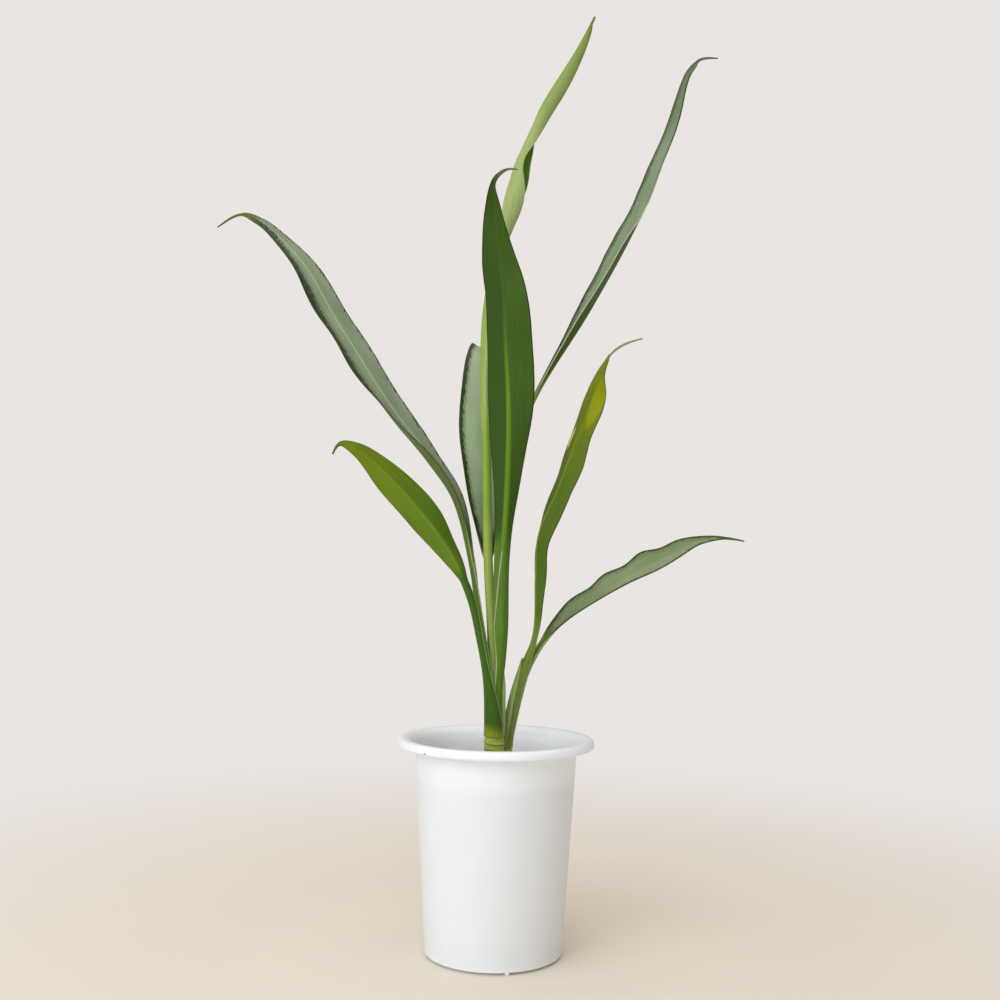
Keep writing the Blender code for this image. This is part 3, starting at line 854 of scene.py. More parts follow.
@dataclass
class Pot:
    """Slim tapered pot with a rolled lip, a raised floor edge, drain holes and small feet."""

    height: float = 162.0
    lip_radius: float = 75.0
    lip_depth: float = 6.8
    crest_radius: float = 70.0
    neck_radius: float = 61.6
    neck_height: float = 149.0
    foot_radius: float = 52.2
    foot_lift: float = 1.8
    base_radius: float = 47.0
    wall: float = 1.5
    floor: float = 2.0
    steps: int = 144
    drain_count: int = 8
    drain_radius: float = 4.5
    drain_circle: float = 30.0
    nub_count: int = 4
    nub_size: Point = (4.0, 2.6, 3.0)
    nub_circle: float = 50.4
    first_nub: float = -78.5
    finish: PotPlastic = field(default_factory=PotPlastic)

    def inner_radius(self, z: float) -> float:
        """Radius of the inner wall at a height."""
        run = (z - self.floor) / (self.neck_height - self.floor)
        return self.foot_radius - self.wall + run * (self.neck_radius - self.foot_radius)

    def profile(self) -> list[Pair]:
        """Floor, inner wall, rolled lip, outer wall and base, with rounded corners."""
        step = self.floor + self.foot_lift
        top, neck = self.height, self.neck_height
        corners = [(0.0, self.floor, 0.0),
                   (self.base_radius - 1.0, self.floor, 0.8),
                   (self.base_radius + 0.6, step, 0.8),
                   (self.inner_radius(step), step, 1.2),
                   (self.inner_radius(neck), neck, 4.0),
                   (self.inner_radius(neck) + 0.8, neck + 4.6, 2.0),
                   (self.neck_radius + 1.2, neck + 8.6, 2.6),
                   (self.crest_radius - 3.5, top - 1.0, 2.0),
                   (self.crest_radius, top, 2.0),
                   (self.lip_radius - 1.2, top - 0.4, 1.8),
                   (self.lip_radius, top - 3.0, 1.6),
                   (self.lip_radius, top - self.lip_depth + 1.0, 1.0),
                   (self.lip_radius - 1.4, top - self.lip_depth, 0.8),
                   (self.crest_radius - 4.0, top - self.lip_depth - 1.0, 2.0),
                   (self.neck_radius + 1.3, neck + 3.2, 1.6),
                   (self.neck_radius, neck, 2.0),
                   (self.foot_radius, self.foot_lift + 0.4, 0.7),
                   (self.foot_radius - 0.6, self.foot_lift, 0.3),
                   (self.base_radius + 1.2, self.foot_lift, 0.6),
                   (self.base_radius, 0.0, 0.5),
                   (0.0, 0.0, 0.0)]
        return rounded(corners)

    def ring(self, name: str, create: Callable[[bmesh.types.BMesh, Matrix], None], count: int,
             radius: float, first: float) -> bpy.types.Object:
        """Equal shapes set round the axis.

        Args:
            name: The object's name.
            create: Adds one shape at a place.
            count: How many shapes.
            radius: Their circle in millimetres.
            first: Turn of the first in degrees.

        Returns:
            One object that holds them all.
        """
        shapes = bmesh.new()
        for index in range(count):
            turn = Matrix.Rotation(math.radians(first) + index * math.tau / count, 4, "Z")
            create(shapes, turn @ Matrix.Translation((radius * MM, 0.0, 0.0)))
        mesh = bpy.data.meshes.new(name)
        shapes.to_mesh(mesh)
        shapes.free()
        piece = bpy.data.objects.new(name, mesh)
        bpy.context.scene.collection.objects.link(piece)
        return piece

    def drain(self, shapes: bmesh.types.BMesh, place: Matrix) -> None:
        """Add one upright round cutter for a drain hole."""
        radius = self.drain_radius * MM
        bmesh.ops.create_cone(shapes, cap_ends=True, segments=32, radius1=radius, radius2=radius,
                              depth=4 * self.floor * MM, matrix=place)

    def nub(self, shapes: bmesh.types.BMesh, place: Matrix) -> None:
        """Add one small block that stands on the ground."""
        length, width, height = (size * MM for size in self.nub_size)
        block = Matrix.Translation((0.0, 0.0, height / 2)) @ Matrix.Diagonal((length, width, height, 1.0))
        bmesh.ops.create_cube(shapes, size=1.0, matrix=place @ block)

    def build(self) -> bpy.types.Object:
        """Make the pot and stand it in for its solid."""
        shell = turned("pot_blank", self.profile(), self.steps)
        nubs = self.ring("nub_tool", self.nub, self.nub_count, self.nub_circle, self.first_nub)
        drains = self.ring("drain_tool", self.drain, self.drain_count, self.drain_circle, 0.0)
        for tool, operation in ((nubs, "UNION"), (drains, "DIFFERENCE")):
            cut = shell.modifiers.new(tool.name, "BOOLEAN")
            cut.operation = operation
            cut.solver = "EXACT"
            cut.object = tool
        mesh = baked(shell)
        for tool in (shell, nubs, drains):
            bpy.data.objects.remove(tool, do_unlink=True)
        mesh.shade_smooth()
        mesh.set_sharp_from_angle(angle=math.radians(50.0))
        return add_piece("pot_shell", mesh, self.finish.material(), "pot", "pot")


@dataclass
class Filling:
    """Potting mix: its solid keeps its shape, and loose grains lie over it."""

    top: float = 133.5
    edge_top: float = 131.5
    radius: float = 58.0
    crumbs: int = 1500
    chips: int = 260
    pumice: int = 150
    canes: tuple[tuple[float, float, float], ...] = ((-1.5, 0.0, 9.0), (7.6, 11.7, 5.6))
    seed: int = 11
    body_finish: MixFinish = field(default_factory=MixFinish)
    crumb_finish: CrumbFinish = field(default_factory=CrumbFinish)

    def surface(self, radius: float) -> float:
        """Height of the mound at a distance from the axis."""
        levels = (self.top, self.top - 0.3, self.edge_top + 0.6, self.edge_top)
        return float(np.interp(radius, (0.0, 24.0, 44.0, 58.5), levels))

    def grain(self, draw: np.random.Generator, size: Point, detail: int) -> bmesh.types.BMesh:
        """One lumpy grain.

        Args:
            draw: Seeded random numbers.
            size: Its half length, half width and half height in millimetres.
            detail: Fineness of its surface.

        Returns:
            Its shape round the origin.
        """
        shape = bmesh.new()
        bmesh.ops.create_icosphere(shape, subdivisions=detail, radius=1.0)
        for v in shape.verts:
            v.co *= draw.uniform(0.74, 1.12)
            v.co = Vector((v.co.x * size[0], v.co.y * size[1], v.co.z * size[2])) * MM
        return shape

    def build(self) -> list[bpy.types.Object]:
        """Dress the mix and strew its grains."""
        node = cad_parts["soil"]
        material = self.body_finish.material()
        for index in range(max(1, len(node.data.materials))):
            if index < len(node.material_slots):
                node.material_slots[index].material = material
            else:
                node.data.materials.append(material)
        draw = np.random.default_rng(self.seed)
        points: list[np.ndarray] = []
        faces: list[np.ndarray] = []
        kinds: list[np.ndarray] = []
        shades: list[np.ndarray] = []
        count = 0
        plan = [(0.0, self.crumbs, (0.8, 1.9), 1), (0.6, self.chips, (1.5, 3.6), 2), (1.0, self.pumice, (1.0, 2.1), 2)]
        for kind, amount, (least, most), detail in plan:
            for _ in range(amount):
                spot = self.spot(draw, most)
                size = draw.uniform(least, most)
                flat = 0.45 if kind == 0.6 else 0.8
                narrow = 0.5 if kind == 0.6 else 0.85
                shape = self.grain(draw, (size, size * narrow, size * flat), detail)
                turn = Matrix.Rotation(draw.uniform(0, math.tau), 4, "Z") @ Matrix.Rotation(draw.uniform(-0.5, 0.5), 4, "X")
                lift = self.surface(math.hypot(*spot)) + size * flat * draw.uniform(-0.1, 0.5)
                shape.transform(Matrix.Translation((spot[0] * MM, spot[1] * MM, lift * MM)) @ turn)
                points.append(np.array([v.co for v in shape.verts]))
                faces.append(np.array([[v.index for v in f.verts] for f in shape.faces]) + count)
                kinds.append(np.full(len(shape.verts), kind))
                shades.append(np.full(len(shape.verts), draw.random()))
                count += len(shape.verts)
                shape.free()
        mesh = bpy.data.meshes.new("mix_crumbs")
        mesh.from_pydata(np.concatenate(points).tolist(), [], np.concatenate(faces).tolist())
        store(mesh, "kind", np.concatenate(kinds))
        store(mesh, "shade", np.concatenate(shades))
        return [node, add_piece("mix_crumbs", mesh, self.crumb_finish.material(), "soil")]

    def spot(self, draw: np.random.Generator, clear: float) -> Pair:
        """Random place on the mix that is clear of the wall and the canes."""
        while True:
            radius = (self.radius - clear) * math.sqrt(draw.random())
            angle = draw.uniform(0, math.tau)
            x, y = radius * math.cos(angle), radius * math.sin(angle)
            if all(math.hypot(x - cx, y - cy) > keep for cx, cy, keep in self.canes):
                return x, y


# Canes


@dataclass
class Cane:
    """Short upright cane with ring scars, standing in the mix."""

    name: str
    node: str
    root_axis: Pair
    top_axis: Pair
    bottom: float
    top: float
    root_radius: float
    radius: float
    scars: tuple[float, ...]
    scar_depth: float
    seed: int
    steps: int = 72
    row: float = 0.6
    finish: CaneSkin = field(default_factory=CaneSkin)

    def build(self) -> bpy.types.Object:
        """Make the cane row by row and stand it in for its solid."""
        draw = np.random.default_rng(self.seed)
        heights = np.arange(self.bottom, self.top + 0.001, self.row)
        heights[-1] = self.top
        angles = np.linspace(0.0, math.tau, self.steps, endpoint=False)
        z, angle = np.meshgrid(heights, angles, indexing="ij")
        bare = self.root_radius * (0.6 + 0.25 * eased((z - self.bottom) / 6.0) + 0.15 * eased((z - self.bottom - 6.0) / 24.0))
        stem = self.radius - self.scar_depth
        radius = bare + (stem - bare) * eased((z - 130.0) / 6.0)
        ring = np.zeros_like(z)
        for scar in self.scars:
            lean = np.sin(angle + draw.uniform(0, math.tau))
            level = scar + 0.9 * lean + 0.15 * np.sin(3 * angle + draw.uniform(0, math.tau))
            bump = np.exp(-((z - level) / 0.7) ** 2)
            radius = radius + self.scar_depth * bump
            ring = np.maximum(ring, np.exp(-((z - level + 0.5) / 0.45) ** 2))
        ribs = sum(np.sin(n * angle + draw.uniform(0, math.tau)) for n in (17, 23, 31))
        radius = radius + 0.03 * ribs
        radius = np.minimum(radius, self.radius)
        radius = radius - 0.8 * eased((z - self.top + 0.8) / 0.8) ** 2
        run = (z - self.bottom) / (self.top - self.bottom)
        x = self.root_axis[0] + run * (self.top_axis[0] - self.root_axis[0]) + radius * np.cos(angle)
        y = self.root_axis[1] + run * (self.top_axis[1] - self.root_axis[1]) + radius * np.sin(angle)
        rings = np.stack([x, y, z], axis=-1)
        mesh = tube_mesh(self.name, rings)
        store(mesh, "ring", ring)
        return add_piece(self.name, mesh, self.finish.material(), "cane", self.node)


def tube_mesh(name: str, rings: np.ndarray) -> bpy.types.Mesh:
    """Closed mesh through rings of points, with a flat cap at each end.

    Args:
        name: The mesh's name.
        rings: Points in millimetres, ring by ring.

    Returns:
        The mesh, in metres, with outward faces.
    """
    count, wide = rings.shape[:2]
    index = np.arange(count * wide).reshape(count, wide)
    after = np.roll(index, -1, axis=1)
    quads = np.stack([index[:-1], after[:-1], after[1:], index[1:]], axis=-1).reshape(-1, 4)
    faces = quads.tolist() + [index[0][::-1].tolist(), index[-1].tolist()]
    mesh = bpy.data.meshes.new(name)
    mesh.from_pydata((rings.reshape(-1, 3) * MM).tolist(), [], faces)
    tidy = bmesh.new()
    tidy.from_mesh(mesh)
    bmesh.ops.recalc_face_normals(tidy, faces=tidy.faces)
    tidy.to_mesh(mesh)
    tidy.free()
    mesh.shade_smooth()
    mesh.set_sharp_from_angle(angle=math.radians(60.0))
    return mesh


# Leaves


@dataclass
class Foot:
    """Where a leaf starts: its turn round the cane's axis and the ring sector that it fills."""

    turn: float
    radii: Pair
    half_angle: float = 40.0
    clasp: Pair = (35.0, 65.0)


@dataclass
class Leaf:
    """One leaf on the same lines as its solid, with finer rows, a true edge, ribs and veins."""

    name: str
    node: str
    skin: LeafSkin | SheathSkin
    slot: str
    foot: Foot
    facing: float
    axis: list
    path: list
    stalk_end: float
    half_width: float
    widest_at: float = 0.5
    base_taper: float = 1.0
    tip_taper: float = 0.7
    tail: float = 1.0
    tail_from: float = 0.94
    fold: Pair = (35.0, 6.0)
    curl: float = 8.0
    stalk_half: float = 2.7
    stalk_curl: float = 75.0
    stalk_thickness: float = 2.0
    stalk_rim: float = 1.2
    blade_rim: float = 0.7
    midrib: float = 1.1
    wave: Pair = (4.0, 4.0)
    scallop: Pair = (0.0, 0.0)
    wave_length: Pair = (80.0, 75.0)
    wave_start: Pair = (0.0, 0.5)
    seed: int = 1
    ripple: float = 0.12
    row: float = 2.0
    halves: tuple[float, ...] = (0.0, 0.03, 0.07, 0.12, 0.2, 0.3, 0.4, 0.5, 0.6, 0.7, 0.8, 0.88, 0.94, 1.0)

    def points(self) -> list[tuple[float, float, float, float]]:
        """Foot points on the cane's axis line, at the foot's radius, then the free path."""
        turn = math.radians(self.foot.turn)
        reach = self.foot.radii[0]
        roll = (self.foot.turn - self.facing) % 360.0 - 180.0
        start = [(x + reach * math.cos(turn), y + reach * math.sin(turn), z, roll) for x, y, z in self.axis]
        return start + self.path

    def rows(self) -> tuple[np.ndarray, np.ndarray]:
        """Rows along the smooth midrib line.

        Returns:
            The rows (x, y, z, roll) and their distances along the line.
        """
        knots = np.array(self.points(), float)
        spans = np.sqrt(np.linalg.norm(np.diff(knots[:, :3], axis=0), axis=1))
        rates = np.diff(knots, axis=0) / spans[:, None]
        slopes = np.zeros_like(knots)
        before, after = spans[:-1, None], spans[1:, None]
        slopes[1:-1] = (rates[:-1] * after + rates[1:] * before) / (before + after)
        slopes[0] = 1.5 * rates[0] - 0.5 * slopes[1]
        slopes[-1] = 1.5 * rates[-1] - 0.5 * slopes[-2]
        t = np.linspace(0.0, 1.0, 60, endpoint=False)[None, :, None]
        span = spans[:, None, None]
        fine = ((2 * t ** 3 - 3 * t ** 2 + 1) * knots[:-1, None]
                + (t ** 3 - 2 * t ** 2 + t) * span * slopes[:-1, None]
                + (3 * t ** 2 - 2 * t ** 3) * knots[1:, None]
                + (t ** 3 - t ** 2) * span * slopes[1:, None])
        fine = np.vstack([fine.reshape(-1, 4), knots[-1:]])
        run = np.concatenate([[0.0], np.cumsum(np.linalg.norm(np.diff(fine[:, :3], axis=0), axis=1))])
        count = int(run[-1] / self.row)
        steps = run[-1] * (1.0 - (1.0 - np.linspace(0.0, 1.0, count)) ** 1.3)
        return np.column_stack([np.interp(steps, run, fine[:, k]) for k in range(4)]), steps

    def frames(self, rows: np.ndarray) -> tuple[np.ndarray, np.ndarray]:
        """Directions at each row, carried along without twisting, then rolled.

        Args:
            rows: Points and rolls along the midrib.

        Returns:
            The upper face's normal and the sideways direction.
        """
        line = rows[:, :3]
        along = np.gradient(line, axis=0)
        along /= np.linalg.norm(along, axis=1)[:, None]
        angle = math.radians(self.facing)
        normal = np.array([math.cos(angle), math.sin(angle), 0.0])
        normal -= along[0] * normal.dot(along[0])
        normals = [normal / np.linalg.norm(normal)]
        for i in range(len(line) - 1):
            step = line[i + 1] - line[i]
            half = normals[-1] - 2.0 / step.dot(step) * step.dot(normals[-1]) * step
            turned_along = along[i] - 2.0 / step.dot(step) * step.dot(along[i]) * step
            bend = along[i + 1] - turned_along
            size = bend.dot(bend)
            if size > 1e-12:
                half = half - 2.0 / size * bend.dot(half) * bend
            normals.append(half / np.linalg.norm(half))
        carried = np.array(normals)
        sideways = np.cross(along, carried)
        roll = np.radians(rows[:, 3])[:, None]
        return (carried * np.cos(roll) + sideways * np.sin(roll),
                sideways * np.cos(roll) - carried * np.sin(roll))

    def widths(self, blade: np.ndarray) -> tuple[np.ndarray, np.ndarray]:
        """Half widths of the blade and of its drip tip.

        Args:
            blade: Place along the blade, from 0 to 1.

        Returns:
            Both half widths in millimetres.
        """
        part = np.clip(blade / self.tail_from, 0.0, 1.0)
        rise = np.sin(np.clip(part / self.widest_at, 0.0, 1.0) * math.pi / 2) ** self.base_taper
        past = np.clip((part - self.widest_at) / (1.0 - self.widest_at), 0.0, 1.0)
        fall = np.cos(past * math.pi / 2) ** self.tip_taper
        body = self.half_width * np.where(part < self.widest_at, rise, fall)
        tail = self.tail * np.sqrt(np.clip((1.0 - blade) / TAIL_END, 0.0, 1.0)) * eased(blade * 4.0)
        return body, tail

    def build(self) -> bpy.types.Object:
        """Make the leaf as one closed mesh and stand it in for its solid."""
        rows, steps = self.rows()
        normal, sideways = self.frames(rows)
        blade = np.clip((steps - self.stalk_end) / (steps[-1] - self.stalk_end), 0.0, 1.0)
        held, loose = self.foot.clasp
        freed = eased((steps - held) / (loose - held))
        opened = eased((steps - self.stalk_end + 10.0) / 50.0)
        inner, outer = self.foot.radii
        sector = self.foot.half_angle
        foot_half = inner * math.radians(sector)
        stalk = foot_half + (self.stalk_half - foot_half) * freed
        body, tail = self.widths(blade)
        half = np.sqrt((stalk * (1.0 - eased(blade * 3.0))) ** 2 + body ** 2 + tail ** 2)
        half = np.maximum(half, 0.4)[:, None]
        base_fold, tip_fold = self.fold
        fold = np.radians(tip_fold + (base_fold - tip_fold) * (1.0 - blade) ** 1.5) * opened
        closed = sector + (self.stalk_curl - sector) * freed
        curl = np.radians(closed * (1.0 - opened) + self.curl * opened)[:, None]
        thick = (outer - inner) + (self.stalk_thickness - outer + inner) * freed
        rim = (outer - inner) + (self.stalk_rim - outer + inner) * freed
        middle = thick * (1.0 - opened) + (self.blade_rim + self.midrib * (1.0 - blade)) * opened
        rim = rim * (1.0 - opened) + self.blade_rim * opened

        place = np.array([-h for h in self.halves[:0:-1]] + list(self.halves))[None, :]
        side = np.sign(place)
        reach = np.abs(place)
        which = np.where(place > 0, 0, 1)
        phase = steps[:, None] / np.array(self.wave_length)[which] + np.array(self.wave_start)[which]
        swell = (opened * np.sin(math.pi * blade))[:, None]
        waving = np.sin(math.tau * phase) * swell
        draw = np.random.default_rng(self.seed)
        ripples = np.stack([wavy(draw, steps, (14.0, 46.0)), wavy(draw, steps, (14.0, 46.0))], axis=1)[:, which[0]]
        tilt = fold[:, None] + np.radians(np.array(self.wave))[which] * waving
        half = half * (1.0 + np.array(self.scallop)[which] * waving)
        half = half + 0.25 * self.ripple * ripples * swell
        bend = tilt + curl * reach
        out = half * (np.sin(bend) - np.sin(tilt)) / curl * side
        lift = half * (np.cos(tilt) - np.cos(bend)) / curl
        lift = lift + self.ripple * ripples * swell * reach ** 2.5
        thickness = rim[:, None] + (middle - rim)[:, None] * (1.0 - reach) ** 1.5
        off = half * reach
        rib = (opened * (1.0 - 0.7 * blade))[:, None]
        channel = 0.35 * rib * np.exp(-(off / 1.0) ** 2)
        ridge = 0.3 * rib * np.exp(-(off / 1.1) ** 2)
        slant = steps[:, None] * 0.52 - off * 1.15
        veins = 0.01 * opened[:, None] * np.sin(slant) * np.clip(off / 3.0, 0.0, 1.0) * (1.0 - reach ** 4)
        lines = 0.03 * np.sin(off * side * 4.6)
        at_rib = reach == 0.0
        under_side = np.where(at_rib, 0.0, np.sin(bend) * side)
        under_down = np.where(at_rib, 1.0, np.cos(bend))

        centre = rows[:, None, :3]
        cross, up = sideways[:, None, :], normal[:, None, :]
        level = (lift - channel + veins)[..., None]
        upper = centre + cross * out[..., None] + up * level
        offset = cross * under_side[..., None] - up * under_down[..., None]
        base = centre + cross * out[..., None] + up * lift[..., None]
        lower = base + offset * (thickness + ridge - veins + lines * (1.0 - reach ** 4))[..., None]
        return self.finish_mesh(rows, steps, blade, upper, lower, off * side, half)

    def finish_mesh(self, rows: np.ndarray, steps: np.ndarray, blade: np.ndarray, upper: np.ndarray,
                    lower: np.ndarray, across: np.ndarray, half: np.ndarray) -> bpy.types.Object:
        """Join both faces by rounded rims and keep what the finish reads.

        Args:
            rows: Points along the midrib.
            steps: Distances along the midrib.
            blade: Place along the blade, from 0 to 1.
            upper: Points of the upper face, row by row.
            lower: Points of the underside.
            across: Signed distance from the midrib.
            half: Half width at each point.

        Returns:
            The finished piece.
        """
        wide = upper.shape[1]
        rims = []
        for column in (wide - 1, 0):
            middle = (upper[:, column] + lower[:, column]) / 2
            inward = (upper[:, column] - upper[:, wide // 2])
            length = np.linalg.norm(inward, axis=1)[:, None] + 1e-9
            thin = np.linalg.norm(upper[:, column] - lower[:, column], axis=1)[:, None]
            rims.append(middle + inward / length * thin * 0.3)
        rings = np.concatenate([upper, rims[0][:, None], lower[:, ::-1], rims[1][:, None]], axis=1)
        mesh = tube_mesh(self.name, rings)
        edge = half - np.abs(across)
        zero = np.zeros_like(steps)[:, None]
        around = [(across, across[:, -1:], across[:, ::-1], across[:, :1]),
                  (edge, zero, edge[:, ::-1], zero),
                  (edge * 0 + Side.UPPER.value, zero + 0.5, edge * 0 + Side.UNDER.value, zero + 0.5)]
        for key, parts in zip(("across", "edge", "under"), around):
            store(mesh, key, np.concatenate(parts, axis=1))
        total = rings.shape[1]
        store(mesh, "along", np.repeat(steps, total))
        store(mesh, "blade", np.repeat(blade, total))
        self.lay_out(mesh, steps, wide)
        material = self.skin.material()
        return add_piece(self.name, mesh, material, self.slot, self.node)

    def lay_out(self, mesh: bpy.types.Mesh, steps: np.ndarray, wide: int) -> None:
        """Lay the two faces side by side on a map that keeps lengthwise lines sharp.

        Args:
            mesh: The leaf's mesh.
            steps: Distances along the midrib.
            wide: Points across one face.
        """
        total = 2 * wide + 2
        first = np.concatenate([np.linspace(0.02, 0.48, wide), [0.5], np.linspace(0.52, 0.98, wide), [1.0]])
        ahead = 0.01 + 0.98 * steps / steps[-1]
        layer = mesh.uv_layers.new(name="OFBake")
        corners = np.zeros(len(mesh.loops), int)
        mesh.loops.foreach_get("vertex_index", corners)
        row, column = corners // total, corners % total
        u, v = first[column], ahead[row]
        for polygon in mesh.polygons:
            if polygon.loop_total != 4:
                continue
            span = slice(polygon.loop_start, polygon.loop_start + 4)
            if {0, total - 1} <= set(column[span].tolist()):
                u[span] = np.where(column[span] == total - 1, 0.0, u[span])
        layer.data.foreach_set("uv", np.stack([u, v], axis=-1).astype(np.float32).ravel())


MAIN_TOP = 162.2
SIDE_TOP = 151.6
MAIN_FOOT = MAIN_TOP + GAP
MAIN_LINE = [(-1.5, 0.0, MAIN_FOOT), (-1.5, 0.0, 180.0), (-1.6, 0.0, 200.0)]
CLASP_LINE = [(-1.5, 0.0, MAIN_FOOT), (-1.5, -0.1, 170.0)]
SIDE_LINE = [(8.4, 11.5, SIDE_TOP + 0.8), (9.0, 11.4, 160.0), (11.4, 11.0, 173.0), (16.0, 10.0, 194.0),
             (21.5, 9.0, 213.0)]
INNER_RADII = (3.8, 6.1)
FULL_RADII = (3.8, 8.3)
PAIR_RADII = (1.5, 4.5)
PAIR_HALF_ANGLE = 73.0


def front_leaf() -> Leaf:
    """Dark leaf that leans to the front, seen from below."""
    # The underside is painted lighter on the side of -1, as painted light that offsets the shade of the fold on that
    # half.
    skin = LeafSkin(
        "front_skin", green=tint(48, 82, 24), under=(tint(48, 78, 12), tint(66, 98, 28)),
        under_rib=tint(104, 140, 26), under_rib_half=1.9, under_rib_strength=0.75, under_rib_fade=(0.36, 0.66),
        edge=tint(30, 44, 18), edge_width=0.8, edge_strength=0.8, stalk=tint(92, 130, 38),
        tail=tint(112, 116, 76), streaks=0.3, streak=tint(50, 66, 20), seed=1.0,
        seam=Seam((70.0, 6.5), (143.0, 1.0), tint(80, 112, 40)))
    return Leaf(
        "leaf_front_blade", "leaf_front", skin, "dark_leaf", Foot(-54, INNER_RADII, clasp=(40.0, 110.0)),
        facing=130.0, axis=MAIN_LINE, stalk_end=136.0, half_width=20.5, widest_at=0.54, base_taper=1.1,
        tip_taper=0.85, tail=1.8, tail_from=0.92, fold=(26.0, 22.0), stalk_half=6.8,
        wave=(3.0, 4.0), wave_length=(90.0, 80.0), seed=3,
        path=[(2.5, -5, 220, -5), (3, -8, 243, -20), (3, -12, 295, -24), (5.5, -20, 358, -34),
              (5.5, -31, 413, -52), (2.5, -40, 460, -58), (0, -49, 493, -60), (-4, -58, 519, -44),
              (-8, -68, 552, -30), (-8, -82, 568, -22), (0, -90, 574, -15), (9, -96, 573, -12)])


def left_low_leaf() -> Leaf:
    """Olive leaf low on the left, whose sheath wraps the front of the bundle."""
    skin = LeafSkin(
        "left_low_skin", green=tint(92, 122, 34), under=(tint(100, 130, 26), tint(86, 122, 28)),
        under_rib=tint(118, 142, 36), under_rib_half=0.7, under_rib_strength=0.35, under_rib_fade=(0.6, 0.95),
        ripe=tint(128, 140, 20), ripe_share=0.4, edge=tint(58, 76, 26), stalk=tint(62, 100, 28),
        stalk_edge=tint(150, 172, 96), tail=tint(96, 104, 40), streaks=0.35, streak=tint(66, 84, 24),
        foot=tint(138, 150, 32), foot_reach=13.0, seed=2.0)
    return Leaf(
        "leaf_left_low_blade", "leaf_left_low", skin, "olive_leaf", Foot(255, (7.0, 8.4), 68.0, (0.0, 60.0)),
        facing=58.0, axis=CLASP_LINE, stalk_end=122.0, half_width=15.2, widest_at=0.38,
        base_taper=0.75, tip_taper=0.85, tail=0.9, tail_from=0.95, fold=(55.0, 12.0), seed=4,
        wave=(6.0, 6.0), scallop=(0.06, 0.05), wave_length=(60.0, 58.0), wave_start=(0.6, 0.8),
        path=[(-8, -9, 205, 5), (-14, -11, 236, 0), (-22, -13, 270, 25), (-38, -20, 304, 45),
              (-64, -33, 338, 40), (-92, -46, 367, 60), (-106, -54, 377, 55),
              (-117, -59, 380, 50), (-122, -63, 372, 50)])


def left_long_leaf() -> Leaf:
    """Long silver leaf to the upper left."""
    # The silver of the half on the side of +1 is dulled a little as painted shade.
    skin = LeafSkin(
        "left_long_skin", green=tint(32, 56, 26), silver=tint(144, 158, 128), silvered=0.95, painted_half_shade=(0.12, 0.0),
        margin=(0.5, 2.0), jag=2.0, mottled=(0.0, 1.0), mottle_reach=14.0, rib=tint(176, 188, 152),
        rib_half=0.6, rib_strength=0.6, rib_shift=5.5, under=(tint(88, 108, 38), tint(88, 108, 38)),
        under_rib=tint(108, 132, 54), stalk=tint(96, 128, 46), edge=tint(38, 54, 30), tail=tint(92, 98, 44),
        tail_from=0.9, seed=3.0, wing=Wing(100.0, 136.0, 5.5, 17.0))
    return Leaf(
        "leaf_left_long_blade", "leaf_left_long", skin, "silver_leaf", Foot(216, INNER_RADII), facing=-14.0,
        axis=MAIN_LINE, stalk_end=140.0, half_width=17.5, widest_at=0.55, base_taper=0.75, tip_taper=0.65,
        tail=1.5, tail_from=0.94, fold=(40.0, 13.0), stalk_half=4.5, seed=5,
        path=[(-10.5, 0, 225, 40), (-15, 2, 250, 35), (-21, 7, 291, 5), (-36, 15, 345, -6),
              (-58, 25, 377, -8), (-91, 37, 416, -28), (-138, 53, 486, -34), (-173, 66, 545, -33),
              (-198, 76, 574, -30), (-212, 83, 586, -42), (-228, 88, 594, -60), (-249, 89, 583, -70)])


def back_leaf() -> Leaf:
    """Silver leaf behind the middle that arches away to the back."""
    skin = LeafSkin(
        "back_skin", green=tint(40, 62, 28), silver=tint(164, 180, 146), silvered=0.96, margin=(2.4, 3.4),
        jag=2.0, mottled=(0.3, 0.3), mottle_reach=3.0, rib=tint(170, 184, 150), rib_strength=0.35, under=(tint(84, 110, 52), tint(84, 110, 52)),
        under_rib=tint(118, 146, 70), stalk=tint(92, 122, 50), edge=tint(44, 60, 34), seed=4.0)
    return Leaf(
        "leaf_back_blade", "leaf_back", skin, "silver_leaf", Foot(126, FULL_RADII), facing=-86.0, axis=MAIN_LINE,
        stalk_end=136.0, half_width=20.0, widest_at=0.43, base_taper=0.55, tip_taper=1.1,
        fold=(42.0, 8.0), seed=6,
        path=[(-5, 8, 221, 20), (-6, 12, 250, 0), (-9, 16, 299, 5), (-13, 28, 360, -10),
              (-15, 41, 404, -10), (-15, 57, 440, -8), (-15, 81, 472, 0), (-16, 110, 483, 8),
              (-17, 141, 471, 10), (-18, 167, 440, 10)])


